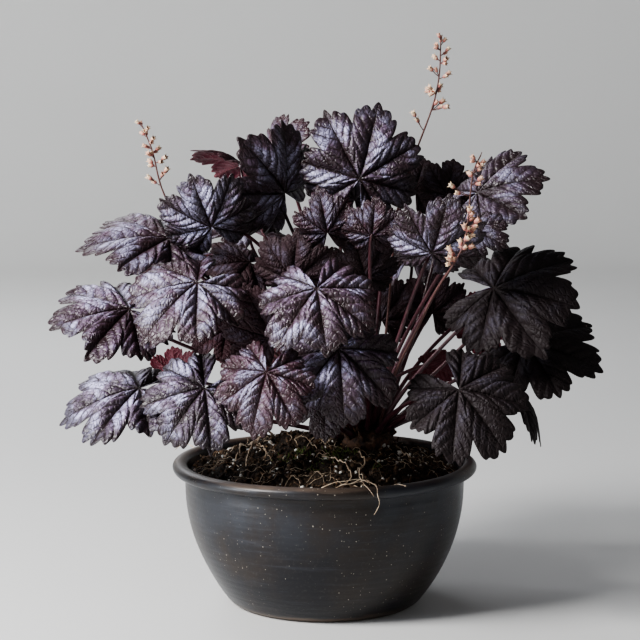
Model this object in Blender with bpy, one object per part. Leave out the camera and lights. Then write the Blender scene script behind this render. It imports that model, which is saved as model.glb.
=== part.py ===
# A dark-leaved heuchera in a round glazed pot: pot, soil, crown, leaves and flower sprays.
# Lengths are in millimetres and angles in degrees; the finished meshes are in metres.
# +Z is up, -Y is the plant's front, and the origin is the centre of the pot's flat base.

import bpy
import bmesh
import numpy as np
from math import atan2, cos, degrees, pi, radians, sin, sqrt

METRES = 0.001
CLEARANCE = 0.3
SEED = 7

# Pot
POT_SIDES = 32
POT_OUTER = ((0, 0), (71.5, 0), (75.5, 2.5), (81, 9), (89, 21), (97.5, 37), (103.5, 52), (107.5, 67),
             (109.7, 82), (110.2, 94), (110.2, 101))
POT_INNER = ((104.8, 98), (104.2, 84), (101.4, 67), (96.4, 51), (89, 36), (79, 22), (66, 12), (0, 10))
RIM_RADIUS = 114.2
RIM_HALF_WIDTH = 6.0
RIM_HALF_HEIGHT = 4.8
RIM_HEIGHT = 108.6
RIM_ARC = (-120, 180)
RIM_STEPS = 6
DRAIN_COUNT = 3
DRAIN_RADIUS = 5.0
DRAIN_RING = 36.0

# Soil and crown
SOIL_EDGE_HEIGHT = 105.0
SOIL_MOUND = 20.0
SOIL_RINGS = 2
SOIL_LUMP = 1.3
SOIL_RADIUS = 106.0
SOIL_SHIFT = 14.0
CROWN_CENTRE = (33.0, 2.0)
CROWN_RADIUS = 22.0
CROWN_DOME = 17.0
CROWN_SHOULDER = 127.0
CROWN_FOOT = 101.0
CROWN_RINGS = 5
CROWN_SIDES = 24

# Leaf outline: seven lobes about the joint of petiole and blade, with reach as a part of the tip's
LOBE_STEP = 46.0
LOBE_REACH = (0.56, 0.72, 0.87, 1.0, 0.87, 0.72, 0.56)
SINUS_DEPTH = 0.74
TOOTH = (0.62, 0.93)
NOTCH = (0.30, 0.90)
MID_RING = 0.50
# Leaf relief, as parts of the blade's reach, and its bends
PLEAT = 0.055
RUFFLE = 0.045
CUP = 0.06
DROOP = 46.0
SIDE_DROOP = 30.0
BACK_DROOP = 0.35
BLADE_THICKNESS = 0.8
# Petiole
PETIOLE_SIDES = 4
PETIOLE_REACH = (0.42, 0.22)
PETIOLE_MARKS = (0, 0.04, 0.20, 0.42, 0.70, 1.0)
PETIOLE_RADIUS = (1.8, 1.25)
PETIOLE_RISE = 50.0
JOINT_INSET = 2.6
SEAT_SLOPE = 1.45
SEAT_SINK = 5.0
SEAT_STEEPEST = 84.0
SEAT_SPACING = 6.2
SEAT_LIFT = 0.5
# Routes of the petioles: sideways bows that are tried, turns of each, and the room that is wanted
# from a petiole's axis to blades, other petioles, the dome, the soil and the rim
ROUTE_STEPS = 44
ROUTE_BOWS = (0, 8, 16, 26, 38)
ROUTE_TURNS = 10
BOW_COST = 0.03
ENOUGH_ROOM = 1.5
ROOM = {"blade": 7.0, "petiole": 4.4, "dome": 2.4, "soil": 5.0, "rim": 5.0}

# Each leaf: name, joint of petiole and blade, tip of the blade, and the way its upper face
# looks, as an azimuth (0 to the front, 90 to the right) and an elevation.
LEAVES = (
    ("top", (27, -17, 336), (41, -1, 389), (6, 12)),
    ("top_left", (-31, -2, 324), (-60, -28, 362), (-12, 35)),
    ("top_back", (-39, 45, 349), (-15, 36, 375), (-30, 25)),
    ("back_left_red", (-66, 60, 342), (-107, 74, 346), (180, 65)),
    ("upper_left", (-86, -42, 301), (-101, -53, 341), (-15, 32)),
    ("left_wing", (-120, -22, 290), (-182, -30, 285), (-20, 63)),
    ("left_outer", (-149, -45, 238), (-204, -58, 226), (-25, 48)),
    ("left_centre", (-94, -96, 264), (-130, -116, 228), (-15, 40)),
    ("left_shade", (-77, -15, 218), (-99, -30, 205), (-10, 30)),
    ("low_left_outer", (-140, -70, 181), (-196, -74, 158), (-25, 62)),
    ("low_left", (-89, -100, 186), (-117, -112, 147), (-5, 32)),
    ("back_left_low", (-120, 25, 175), (-122, 33, 198), (180, 20)),
    ("centre", (-6, -118, 262), (2, -142, 216), (0, 25)),
    ("centre_low", (10, -112, 217), (14, -130, 166), (5, 25)),
    ("front_left", (-42, -140, 204), (-52, -152, 163), (-5, 25)),
    ("dark_left", (-39, -78, 221), (-58, -88, 257), (-10, 25)),
    ("right_centre", (79, -95, 286), (89, -110, 325), (5, 20)),
    ("right_upper", (117, -30, 326), (164, -43, 337), (15, 45)),
    ("right_upper_low", (108, -64, 300), (134, -78, 290), (10, 30)),
    ("right_back_a", (72, 30, 324), (80, 45, 347), (0, 20)),
    ("right_back_b", (97, 20, 321), (103, 30, 348), (0, 20)),
    ("right_mid", (129, -45, 254), (191, -63, 241), (15, 35)),
    ("right_far", (155, -20, 209), (210, -30, 191), (20, 40)),
    ("low_right", (98, -118, 188), (130, -132, 145), (8, 25)),
    ("right_drooper", (141, -81, 183), (162, -81, 143), (85, 20)),
    ("right_red", (119, 14, 214), (140, 24, 236), (180, 10)),
    ("right_shade", (80, 15, 186), (102, 25, 176), (180, 20)),
    ("young_left", (2, -36, 296), (-4, -42, 326), (0, 10)),
    ("young_right", (36, -44, 294), (38, -52, 322), (0, 10)),
    ("inner_dark", (32, -14, 259), (22, -20, 292), (-5, 20)),
    ("inner_left_high", (-58, -18, 271), (-92, -32, 268), (-20, 42)),
    ("inner_centre", (-24, -48, 262), (-20, -60, 299), (-5, 25)),
    ("right_dark", (46, 34, 219), (41, 42, 254), (0, 15)),
    ("right_deep", (88, 58, 222), (92, 58, 256), (10, 15)),
    ("under_centre", (0, -85, 186), (0, -100, 151), (0, 10)),
    ("back_top", (25, 90, 312), (18, 140, 343), (180, 40)),
    ("back_top_left", (-62, 100, 287), (-85, 150, 278), (200, 45)),
    ("back_left_high", (-102, 70, 269), (-129, 110, 248), (215, 40)),
    ("back_left", (-109, 60, 233), (-144, 90, 229), (230, 45)),
    ("back_centre", (-12, 120, 234), (-21, 165, 203), (180, 35)),
    ("back_low", (24, 128, 173), (24, 158, 133), (180, 25)),
    ("back_low_left", (-46, 120, 183), (-60, 150, 148), (190, 25)),
    ("back_top_right", (71, 90, 267), (86, 140, 287), (170, 45)),
    ("back_right", (146, 50, 246), (182, 80, 230), (150, 45)),
    ("back_low_right", (104, 80, 147), (132, 110, 116), (150, 35)),
)

# Flower sprays: name, points that the stem passes through, florets as the height where each
# leaves the stem and its reach from there, and crowds as a lowest and highest height and a count.
STEM_RADIUS = (1.2, 0.55)
STEM_SIDES = 4
STEM_STEPS = 11
STEM_LEAD = 3.0
FLORET_LENGTH = 5.0
FLORET_RADIUS = 2.3
FLORET_SIDES = 4
CLUSTER_REACH = 13.0
SPRAYS = (
    ("tall", ((46, 6, 185), (51, 8, 240), (57, 5, 309), (70, 5, 352), (84, 5, 391),
              (89, 5, 416), (90, 5, 444)),
     ((372, (-9, -3, 15)), (388, (10, 2, 8)), (388, (13, -4, 3)), (400, (-6, -4, 6)), (402, (-8, 3, 1)),
      (404, (3, 6, 3)), (412, (9, 3, 5)), (414, (-8, -2, 7)), (424, (5, -5, 4)), (426, (-5, 4, 4)),
      (430, (7, 2, 6)), (434, (-4, -4, 5)), (438, (4, 3, 5)), (441, (-2, 0, 6))), ()),
    ("left", ((-19, 10, 178), (-71, 22, 225), (-107, 30, 280), (-128, 28, 323),
              (-136, 26, 355), (-145, 25, 378)),
     ((328, (-11, 3, 7)), (332, (7, -3, 10)), (343, (-6, 3, 5)), (346, (9, -4, 5)), (350, (-5, -4, 4)),
      (354, (5, 4, 4)), (357, (-7, 0, 3)), (362, (4, -4, 4)), (366, (-5, 3, 4)), (370, (3, -4, 4)),
      (374, (-5, 0, 5))), ()),
    ("right", ((54, -30, 185), (70, -65, 226), (82, -100, 259), (95, -118, 283),
               (102, -122, 302), (106, -122, 343), (113, -118, 361)),
     ((280, (-4, -4, 5)), (284, (-6, 4, 8)), (330, (-15, -2, 8))),
     ((288, 318, 8), (338, 358, 5))),
)


def unit(vector):
    return vector / np.linalg.norm(vector)


def facing_vector(azimuth, elevation):
    a = radians(azimuth)
    e = radians(elevation)
    return np.array((sin(a) * cos(e), -cos(a) * cos(e), sin(e)))


# Meshes are lists of points and faces in millimetres until make_object writes them.

def lathe(profile, sides):
    """Turn a profile of (radius, height) pairs that starts and ends on the axis."""
    points = [(0, 0, profile[0][1])]
    for radius, height in profile[1:-1]:
        for k in range(sides):
            angle = 2 * pi * k / sides
            points.append((radius * cos(angle), radius * sin(angle), height))
    points.append((0, 0, profile[-1][1]))
    rings = len(profile) - 2
    faces = []
    for k in range(sides):
        after = (k + 1) % sides
        faces.append((0, 1 + after, 1 + k))
        for ring in range(rings - 1):
            low = 1 + ring * sides
            faces.append((low + k, low + after, low + sides + after, low + sides + k))
        top = 1 + (rings - 1) * sides
        faces.append((len(points) - 1, top + k, top + after))
    return np.array(points, float), faces


def tube(path, radii, sides, point=0.0):
    """Carry a round section along a path, closed by a flat end and a flat or pointed end."""
    path = np.asarray(path, float)
    tangents = np.gradient(path, axis=0)
    across = np.cross(tangents[0], (0.31, 0.47, 0.83))
    points = []
    for centre, tangent, radius in zip(path, tangents, radii):
        along = unit(tangent)
        across = unit(across - along * (across @ along))
        other = np.cross(along, across)
        for k in range(sides):
            angle = 2 * pi * k / sides
            points.append(centre + radius * (cos(angle) * across + sin(angle) * other))
    first = len(points)
    points.append(path[0])
    points.append(path[-1] + unit(tangents[-1]) * point)
    faces = []
    for k in range(sides):
        after = (k + 1) % sides
        faces.append((first, after, k))
        for ring in range(len(path) - 1):
            low = ring * sides
            faces.append((low + k, low + after, low + sides + after, low + sides + k))
        last = (len(path) - 1) * sides
        faces.append((first + 1, last + k, last + after))
    return np.array(points), faces


def bezier(p0, p1, p2, p3, marks):
    t = np.asarray(marks, float)[:, None]
    return (1 - t) ** 3 * p0 + 3 * t * (1 - t) ** 2 * p1 + 3 * t * t * (1 - t) * p2 + t ** 3 * p3


def stitch(inner, outer, angles):
    """Fill the band between two rows of points, both in order of angle, with triangles."""
    faces = []
    i = j = 0
    while i < len(inner) - 1 or j < len(outer) - 1:
        step_outer = i == len(inner) - 1
        if not step_outer and j < len(outer) - 1:
            step_outer = angles[outer[j + 1]] + angles[outer[j]] < angles[inner[i + 1]] + angles[inner[i]]
        if step_outer:
            faces.append((inner[i], outer[j], outer[j + 1]))
            j += 1
        else:
            faces.append((inner[i], outer[j], inner[i + 1]))
            i += 1
    return faces


def leaf_pattern():
    """The flat leaf as angles and reaches, its triangles, and its boundary in order."""
    angles = [0.0]
    reaches = [0.0]
    half = LOBE_STEP / 2
    centres = [LOBE_STEP * (k - 3) for k in range(7)]
    mid = []
    for k in range(15):
        mid.append(len(angles))
        angles.append(half * (k - 7))
        reaches.append(MID_RING * np.interp(angles[-1], centres, LOBE_REACH))
    outer = []
    for centre, reach in zip(centres, LOBE_REACH):
        marks = [(-1.0, SINUS_DEPTH), (-TOOTH[0], TOOTH[1]), (0.0, 1.0), (TOOTH[0], TOOTH[1])]
        if centre in (centres[0], centres[-1]):
            marks = [(-1.0, SINUS_DEPTH), (-0.3, 1.0), (0.5, 0.96)]
        if centre == 0:
            marks[2:2] = [(-NOTCH[0], NOTCH[1])]
            marks[4:4] = [(NOTCH[0], NOTCH[1])]
        for place, part in marks:
            outer.append(len(angles))
            angles.append(centre + half * place)
            reaches.append(part * (np.interp(angles[-1], centres, LOBE_REACH) if part == SINUS_DEPTH else reach))
    outer.append(len(angles))
    angles.append(centres[-1] + half)
    reaches.append(SINUS_DEPTH * LOBE_REACH[-1])
    faces = [(0, mid[k], mid[k + 1]) for k in range(len(mid) - 1)]
    faces += stitch(mid, outer, angles)
    boundary = [0, mid[0]] + outer + [mid[-1]]
    return np.radians(angles), np.array(reaches), faces, boundary


def leaf_frame(joint, tip, facing):
    """Axes of a leaf at its joint: along the midrib, out of the upper face, across, and reach."""
    chord = np.subtract(tip, joint).astype(float)
    length = np.linalg.norm(chord)
    chord = chord / length
    out = facing_vector(*facing)
    out = unit(out - chord * (out @ chord))
    half = radians(DROOP) / 2
    along = chord * cos(half) + out * sin(half)
    normal = out * cos(half) - chord * sin(half)
    return along, normal, np.cross(normal, along), length * half / sin(half)


def blade_surface(joint, tip, facing, phase, angles, reaches):
    """Points of the drooping, pleated and ruffled blade at the given angles and reaches."""
    along, normal, across, size = leaf_frame(joint, tip, facing)
    pleat = -np.cos(2 * pi * np.degrees(angles) / LOBE_STEP) * PLEAT * reaches
    ruffle = RUFFLE * reaches ** 3 * np.sin(3 * angles + phase)
    lift = pleat + ruffle - CUP * reaches * (1 - reaches)
    x = reaches * np.cos(angles)
    y = reaches * np.sin(angles)
    bend = radians(DROOP)
    bend = np.where(x > 0, bend, BACK_DROOP * bend)
    turn = bend * x
    curl = radians(SIDE_DROOP) * np.abs(y)
    length = np.sin(turn) / bend
    drop = (1 - np.cos(turn)) / bend
    width = np.sin(curl) / radians(SIDE_DROOP) * np.sign(y)
    fall = (1 - np.cos(curl)) / radians(SIDE_DROOP)
    return (np.asarray(joint, float)
            + np.outer(size * (length - lift * np.sin(turn)), along)
            + np.outer(size * (lift * np.cos(turn) - drop - fall), normal)
            + np.outer(size * width, across))


def thicken(points, faces, boundary, thickness):
    """Give a sheet two faces with the same triangles, and close it along its boundary."""
    normals = np.zeros_like(points)
    for a, b, c in faces:
        normal = np.cross(points[b] - points[a], points[c] - points[a])
        for corner in (a, b, c):
            normals[corner] += normal
    normals /= np.linalg.norm(normals, axis=1)[:, None]
    count = len(points)
    solid = np.vstack((points + normals * thickness / 2, points - normals * thickness / 2))
    closed = list(faces) + [(count + c, count + b, count + a) for a, b, c in faces]
    for a, b in zip(boundary, boundary[1:] + boundary[:1]):
        closed.append((a, count + a, count + b))
        closed.append((a, count + b, b))
    return solid, closed


def crown_point(direction):
    """The point of the crown's dome in a direction from its middle, and the dome's normal there."""
    axes = np.array((CROWN_RADIUS, CROWN_RADIUS, CROWN_DOME))
    scale = 1 / np.linalg.norm(direction / axes)
    point = direction * scale
    middle = np.array((*CROWN_CENTRE, CROWN_SHOULDER))
    return middle + point, unit(point / axes ** 2)


def place_seats(joints):
    """Spread the petioles' seats over the dome, each towards its leaf and clear of the others."""
    middle = np.array((*CROWN_CENTRE, CROWN_SHOULDER))
    wanted = []
    for joint in joints:
        away = np.asarray(joint, float) - middle
        level = sqrt(away[0] ** 2 + away[1] ** 2)
        rise = radians(min(SEAT_STEEPEST, SEAT_SLOPE * degrees(atan2(away[2], level)) - SEAT_SINK))
        wanted.append((away[0] / level * cos(rise), away[1] / level * cos(rise), sin(rise)))
    seats = np.array(wanted)
    gap = SEAT_SPACING / CROWN_RADIUS
    for _ in range(300):
        shift = seats[:, None, :] - seats[None, :, :]
        apart = np.linalg.norm(shift, axis=2) + np.eye(len(seats))
        push = np.where(apart < gap, (gap - apart) / apart * 0.3, 0.0)
        np.fill_diagonal(push, 0.0)
        seats = seats + (shift * push[:, :, None]).sum(axis=1)
        seats[:, 2] = np.clip(seats[:, 2], 0.10, 1.0)
        seats /= np.linalg.norm(seats, axis=1)[:, None]
    placed = [crown_point(seat) for seat in seats]
    return [(point + normal * SEAT_LIFT, normal) for point, normal in placed]


def blade_samples(joint, tip, facing, phase):
    """Points spread over a blade, for keeping petioles clear of it."""
    angles, parts = np.meshgrid(np.radians(np.arange(-156, 157, 13)), (0.2, 0.4, 0.6, 0.8, 0.95))
    centres = [LOBE_STEP * (k - 3) for k in range(7)]
    reaches = parts * np.interp(np.degrees(angles), centres, LOBE_REACH)
    return blade_surface(joint, tip, facing, phase, angles.ravel(), reaches.ravel())


def soil_height(x, y):
    """The mound: highest beside the crown, level along the wall."""
    reach = np.hypot(x, y) / SOIL_RADIUS
    away = np.hypot(x - SOIL_SHIFT * (1 - np.minimum(reach, 1)), y) / SOIL_RADIUS
    return SOIL_EDGE_HEIGHT + SOIL_MOUND * np.maximum(1 - away ** 2, 0)


def petiole_path(seat, start, joint, along, normal, bow, marks):
    """A petiole from its seat to its leaf: it leaves the dome squarely and meets the blade from below."""
    length = np.linalg.norm(joint - seat)
    arrive = along * cos(radians(PETIOLE_RISE)) + normal * sin(radians(PETIOLE_RISE))
    return bezier(seat, seat + start * length * PETIOLE_REACH[0] + bow * 0.4,
                  joint - arrive * length * PETIOLE_REACH[1] + bow * 0.8, joint, marks)


def route_clearance(path, blades, petioles):
    """How much room a route leaves to the blades, the petioles, the soil and the rim."""
    room = 30.0
    if len(blades):
        room = min(room, np.linalg.norm(path[::2, None] - blades[None], axis=2).min() - ROOM["blade"])
    if len(petioles):
        room = min(room, np.linalg.norm(path[1:, None] - petioles[None], axis=2).min() - ROOM["petiole"])
    crown = (path[4:] - (*CROWN_CENTRE, CROWN_SHOULDER)) / (CROWN_RADIUS, CROWN_RADIUS, CROWN_DOME)
    room = min(room, (np.linalg.norm(crown, axis=1).min() - 1.0) * CROWN_DOME - ROOM["dome"])
    level = np.hypot(path[:, 0], path[:, 1])
    over_soil = path[:, 2] - soil_height(path[:, 0], path[:, 1]) - ROOM["soil"]
    room = min(room, np.where(level < SOIL_RADIUS - 6, over_soil, room)[4:].min())
    over_rim = path[:, 2] - RIM_HEIGHT - RIM_HALF_HEIGHT - ROOM["rim"]
    return min(room, np.where(abs(level - RIM_RADIUS) < 2.3 * RIM_HALF_WIDTH, over_rim, room).min())


def route_petioles(leaves, phases, seats, stems):
    """Give each petiole the straightest route that is clear of what grows round it."""
    samples = [blade_samples(leaf[1], leaf[2], leaf[3], phase) for leaf, phase in zip(leaves, phases)]
    routes = []
    taken = np.vstack(stems)
    for number, (leaf, (seat, start)) in enumerate(zip(leaves, seats)):
        along, normal, _, _ = leaf_frame(*leaf[1:4])
        joint = np.asarray(leaf[1], float) + along * JOINT_INSET
        line = unit(joint - seat)
        side = unit(np.cross(line, (0.2, 0.1, 1.0)))
        other = np.cross(line, side)
        blades = np.vstack([s for k, s in enumerate(samples) if k != number])
        best = None
        for size in ROUTE_BOWS:
            for turn in range(1 if size == 0 else ROUTE_TURNS):
                angle = 2 * pi * turn / ROUTE_TURNS
                bow = size * (cos(angle) * side + sin(angle) * other)
                path = petiole_path(seat, start, joint, along, normal, bow, np.linspace(0, 1, ROUTE_STEPS))
                value = min(route_clearance(path, blades, taken), ENOUGH_ROOM) - BOW_COST * size
                if best is None or value > best[0]:
                    best = (value, bow, path)
        routes.append((seat, start, joint, along, normal, best[1]))
        taken = np.vstack((taken, best[2]))
    return routes


# Writing meshes and joining them

def make_object(name, points, faces, colour, roughness, sharp=35):
    mesh = bpy.data.meshes.new(name)
    mesh.from_pydata((np.asarray(points) * METRES).tolist(), [], faces)
    mesh.validate()
    mesh.update()
    made = bpy.data.objects.new(name, mesh)
    bpy.context.scene.collection.objects.link(made)
    finish(made, colour, roughness, sharp)
    return made


def finish(made, colour, roughness, sharp):
    material = bpy.data.materials.new(made.name)
    material.use_nodes = True
    shader = material.node_tree.nodes["Principled BSDF"]
    shader.inputs["Base Color"].default_value = (*colour, 1)
    shader.inputs["Roughness"].default_value = roughness
    shader.inputs["Metallic"].default_value = 0.0
    made.data.materials.clear()
    made.data.materials.append(material)
    made.data.shade_smooth()
    made.data.set_sharp_from_angle(angle=radians(sharp))


def combine(base, cutters, operation, solver="EXACT"):
    """Apply one Boolean of a collection of objects to the base object, and remove the collection."""
    group = bpy.data.collections.new("operands")
    bpy.context.scene.collection.children.link(group)
    for cutter in cutters:
        bpy.context.scene.collection.objects.unlink(cutter)
        group.objects.link(cutter)
    step = base.modifiers.new("combine", "BOOLEAN")
    step.operation = operation
    step.operand_type = "COLLECTION"
    step.collection = group
    step.solver = solver
    bpy.context.view_layer.update()
    depsgraph = bpy.context.evaluated_depsgraph_get()
    joined = bpy.data.meshes.new_from_object(base.evaluated_get(depsgraph))
    base.modifiers.clear()
    base.data = joined
    for cutter in cutters:
        bpy.data.objects.remove(cutter)
    bpy.data.collections.remove(group)
    shape = bmesh.new()
    shape.from_mesh(joined)
    bmesh.ops.remove_doubles(shape, verts=shape.verts, dist=0.000001)
    bmesh.ops.triangulate(shape, faces=shape.faces)
    corners = {}
    for face in shape.faces:
        corners.setdefault(frozenset(face.verts), []).append(face)
    folded = [face for pair in corners.values() if len(pair) > 1 for face in pair]
    bmesh.ops.delete(shape, geom=folded, context="FACES")
    shape.to_mesh(joined)
    shape.free()
    return base


# The pieces

def pot_profile():
    steps = np.radians(np.linspace(RIM_ARC[0], RIM_ARC[1], RIM_STEPS))
    rim = [(RIM_RADIUS + RIM_HALF_WIDTH * cos(a), RIM_HEIGHT + RIM_HALF_HEIGHT * sin(a)) for a in steps]
    return list(POT_OUTER) + rim + list(POT_INNER)


def build_pot():
    colour = (0.045, 0.042, 0.042)
    points, faces = lathe(pot_profile(), POT_SIDES)
    pot = make_object("pot", points, faces, colour, 0.35)
    drills = []
    for k in range(DRAIN_COUNT):
        angle = 2 * pi * k / DRAIN_COUNT
        drill, drill_faces = tube(((0, 0, -5), (0, 0, 8), (0, 0, 20)), [DRAIN_RADIUS] * 3, 6)
        drill = drill + np.array((DRAIN_RING * cos(angle), DRAIN_RING * sin(angle), 0))
        drills.append(make_object(f"drill_{k}", drill, drill_faces, colour, 0.35))
    combine(pot, drills, "DIFFERENCE")
    finish(pot, colour, 0.35, 35)


def build_soil():
    """Soil that fills the bowl, with a plain round hole for the crown."""
    rng = np.random.default_rng(SEED)
    turns = 2 * pi * np.arange(POT_SIDES) / POT_SIDES
    around = np.column_stack((np.cos(turns), np.sin(turns)))
    hole = np.array(CROWN_CENTRE) + around * (CROWN_RADIUS + CLEARANCE)
    rings = []
    for radius, height in reversed(POT_INNER[:-1:2]):
        inner = radius - 0.5
        rings.append(np.column_stack((around * inner, np.full(POT_SIDES, height + CLEARANCE))))
    edge = around * (POT_INNER[0][0] + 1.7)
    for part in np.linspace(0, 1, SOIL_RINGS + 1):
        level = edge * (1 - part) + hole * part
        lump = SOIL_LUMP * rng.uniform(-1, 1, POT_SIDES) * (0 < part < 1)
        rings.append(np.column_stack((level, soil_height(level[:, 0], level[:, 1]) + lump)))
    rings.append(np.column_stack((hole, np.full(POT_SIDES, CROWN_FOOT - CLEARANCE))))
    points = [(0, 0, POT_INNER[-1][1] + CLEARANCE)]
    for ring in rings:
        points.extend(ring)
    points.append((*CROWN_CENTRE, CROWN_FOOT - CLEARANCE))
    make_object("soil", points, ring_faces(len(rings), POT_SIDES), (0.03, 0.02, 0.014), 0.95)


def ring_faces(rings, sides):
    """Faces of a stack of rings between a first and a last point, outward when the rings go up."""
    faces = []
    for k in range(sides):
        after = (k + 1) % sides
        faces.append((0, 1 + after, 1 + k))
        for ring in range(rings - 1):
            low = 1 + ring * sides
            faces.append((low + k, low + after, low + sides + after, low + sides + k))
        top = 1 + (rings - 1) * sides
        faces.append((1 + rings * sides, top + k, top + after))
    return faces


def build_crown():
    steps = np.radians(np.linspace(0, 90, CROWN_RINGS + 1))
    dome = [(CROWN_RADIUS * cos(a), CROWN_SHOULDER + CROWN_DOME * sin(a)) for a in steps]
    profile = [(0, CROWN_FOOT), (CROWN_RADIUS, CROWN_FOOT)] + dome[:-1] + [(0, dome[-1][1])]
    points, faces = lathe(profile, CROWN_SIDES)
    make_object("crown", points + np.array((*CROWN_CENTRE, 0)), faces, (0.06, 0.03, 0.02), 0.8)


def build_leaf(leaf, phase, route, pattern):
    name, joint, tip, facing = leaf
    angles, reaches, faces, boundary = pattern
    blade = blade_surface(joint, tip, facing, phase, angles, reaches)
    points, blade_faces = thicken(blade, faces, boundary, BLADE_THICKNESS)
    made = make_object("leaf_" + name, points, blade_faces, (0.05, 0.025, 0.035), 0.4)
    path = petiole_path(*route, PETIOLE_MARKS)
    radii = np.interp(PETIOLE_MARKS, (0, 1), PETIOLE_RADIUS)
    path[-1] -= unit(path[-1] - path[-2]) * 0.8
    stalk = make_object("stalk", *tube(path, radii, PETIOLE_SIDES, 1.6), (0.1, 0.02, 0.03), 0.4)
    combine(made, [stalk], "UNION", "MANIFOLD")
    finish(made, (0.05, 0.025, 0.035), 0.4, 35)


def stem_curve(points, steps):
    """A smooth stem through points chosen by hand."""
    points = np.asarray(points, float)
    marks = np.arange(len(points))
    slopes = np.gradient(points, axis=0)
    curve = []
    for t in np.linspace(0, len(points) - 1, steps):
        k = min(int(t), len(points) - 2)
        u = t - marks[k]
        curve.append((2 * u ** 3 - 3 * u ** 2 + 1) * points[k] + (u ** 3 - 2 * u ** 2 + u) * slopes[k]
                     + (3 * u ** 2 - 2 * u ** 3) * points[k + 1] + (u ** 3 - u ** 2) * slopes[k + 1])
    return np.array(curve)


def floret(root, tip):
    """One bell on its stalk: thin at the root, widest before the mouth."""
    away = np.subtract(tip, root)
    length = np.linalg.norm(away)
    along = away / length
    path = [root + along * mark for mark in (-0.4, length - 0.5 * FLORET_LENGTH, length)]
    return tube(path, (0.45, FLORET_RADIUS, 0.7 * FLORET_RADIUS), FLORET_SIDES)


def spray_stem(route, seat, start, steps):
    """A spray's stem from its seat on the crown through the points chosen for it."""
    lead = seat + start * STEM_LEAD
    return np.vstack((seat, stem_curve((lead,) + route, steps)))


def build_spray(name, stem, florets):
    colour = (0.55, 0.33, 0.26)
    radii = np.linspace(*STEM_RADIUS, len(stem))
    made = make_object("spray_" + name, *tube(stem, radii, STEM_SIDES), colour, 0.6)
    bells = []
    for height, reach in florets:
        root = np.array([np.interp(height, stem[:, 2], stem[:, axis]) for axis in range(3)])
        bells.append(make_object("bell", *floret(root, root + reach), colour, 0.6))
    combine(made, bells, "UNION", "MANIFOLD")
    finish(made, colour, 0.6, 35)


def cluster(rng, low, high, count):
    """Florets crowded round a stretch of stem, by seeded draws at even turns."""
    return [(low + (high - low) * k / count,
             (CLUSTER_REACH * (0.25 + 0.6 * rng.uniform(0.5, 1.0) * cos(2.4 * k)),
              0.6 * CLUSTER_REACH * rng.uniform(0.5, 1.0) * sin(2.4 * k),
              CLUSTER_REACH * rng.uniform(0.3, 0.6))) for k in range(count)]


def build_plant():
    """Leaves and sprays, seated together on the crown."""
    rng = np.random.default_rng(SEED)
    phases = rng.uniform(0, 2 * pi, len(LEAVES))
    seats = place_seats([leaf[1] for leaf in LEAVES] + [spray[1][0] for spray in SPRAYS])
    spray_seats = seats[len(LEAVES):]
    stems = [spray_stem(spray[1], *seat, ROUTE_STEPS) for spray, seat in zip(SPRAYS, spray_seats)]
    routes = route_petioles(LEAVES, phases, seats, stems)
    pattern = leaf_pattern()
    for leaf, phase, route in zip(LEAVES, phases, routes):
        build_leaf(leaf, phase, route, pattern)
    for (name, route, florets, crowds), seat in zip(SPRAYS, spray_seats):
        crowded = [bell for crowd in crowds for bell in cluster(rng, *crowd)]
        build_spray(name, spray_stem(route, *seat, STEM_STEPS), list(florets) + crowded)


def main():
    for old in list(bpy.data.objects):
        bpy.data.objects.remove(old)
    build_pot()
    build_soil()
    build_crown()
    build_plant()


main()
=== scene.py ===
import bmesh
import bpy
import numpy as np
from math import cos, pi, radians, sin
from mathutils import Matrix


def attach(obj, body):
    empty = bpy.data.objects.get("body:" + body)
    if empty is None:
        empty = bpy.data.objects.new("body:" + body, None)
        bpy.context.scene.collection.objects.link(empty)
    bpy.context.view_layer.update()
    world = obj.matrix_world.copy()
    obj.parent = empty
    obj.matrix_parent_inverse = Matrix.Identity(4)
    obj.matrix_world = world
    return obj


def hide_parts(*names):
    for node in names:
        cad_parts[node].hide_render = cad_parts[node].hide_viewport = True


# A dark-leaved heuchera in a glazed pot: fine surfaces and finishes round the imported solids.
# Tables of places are in millimetres; mesh points are in metres.

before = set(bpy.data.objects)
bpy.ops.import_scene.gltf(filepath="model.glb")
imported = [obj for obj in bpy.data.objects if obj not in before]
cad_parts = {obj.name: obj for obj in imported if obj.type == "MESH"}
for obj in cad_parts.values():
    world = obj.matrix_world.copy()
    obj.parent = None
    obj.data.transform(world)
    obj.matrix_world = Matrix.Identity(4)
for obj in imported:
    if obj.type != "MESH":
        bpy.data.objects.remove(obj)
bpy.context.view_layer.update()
mm = 0.001
askew = (0.31, 0.47, 0.83)  # a direction that no stalk or stem follows

# Camera and light

cameraLook = {"place": (-0.0036, -1.6, 0.429), "tilt": 82.7, "lens": 115.5, "sensor": 36, "nearest": 0.05}
lightLook = {
    # place, aim, size, power and colour of each lamp
    "lamps": {
        "key": ((-1.15, -0.70, 1.10), (-0.03, 0, 0.26), 0.60, 50, (1.0, 0.99, 0.985)),
        "fill": ((1.2, -2.0, 1.0), (-0.03, 0, 0.26), 1.8, 0.6, (0.93, 0.95, 1.0)),
        "back": ((-0.7, 1.5, 1.3), (-0.03, 0, 0.26), 1.0, 10, (0.93, 0.95, 1.0)),
        "side": ((-1.40, -0.65, 0.27), (0, 0, 0.1), 0.50, 13, (0.86, 0.92, 1.0)),
        "wash": ((-1.3, 1.6, 1.9), (-0.5, 3.3, 0.7), 1.2, 30, (0.98, 0.99, 1.0))},
    "sky": (0.60, 0.61, 0.64), "skyPower": 0.24, "look": "AgX - Medium High Contrast"}


def makeCamera(look):
    data = bpy.data.cameras.new("camera")
    data.lens = look["lens"]
    data.sensor_width = look["sensor"]
    data.clip_start = look["nearest"]
    camera = bpy.data.objects.new("camera", data)
    camera.location = look["place"]
    camera.rotation_euler = (radians(look["tilt"]), 0, 0)
    bpy.context.scene.collection.objects.link(camera)
    bpy.context.scene.camera = camera


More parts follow.
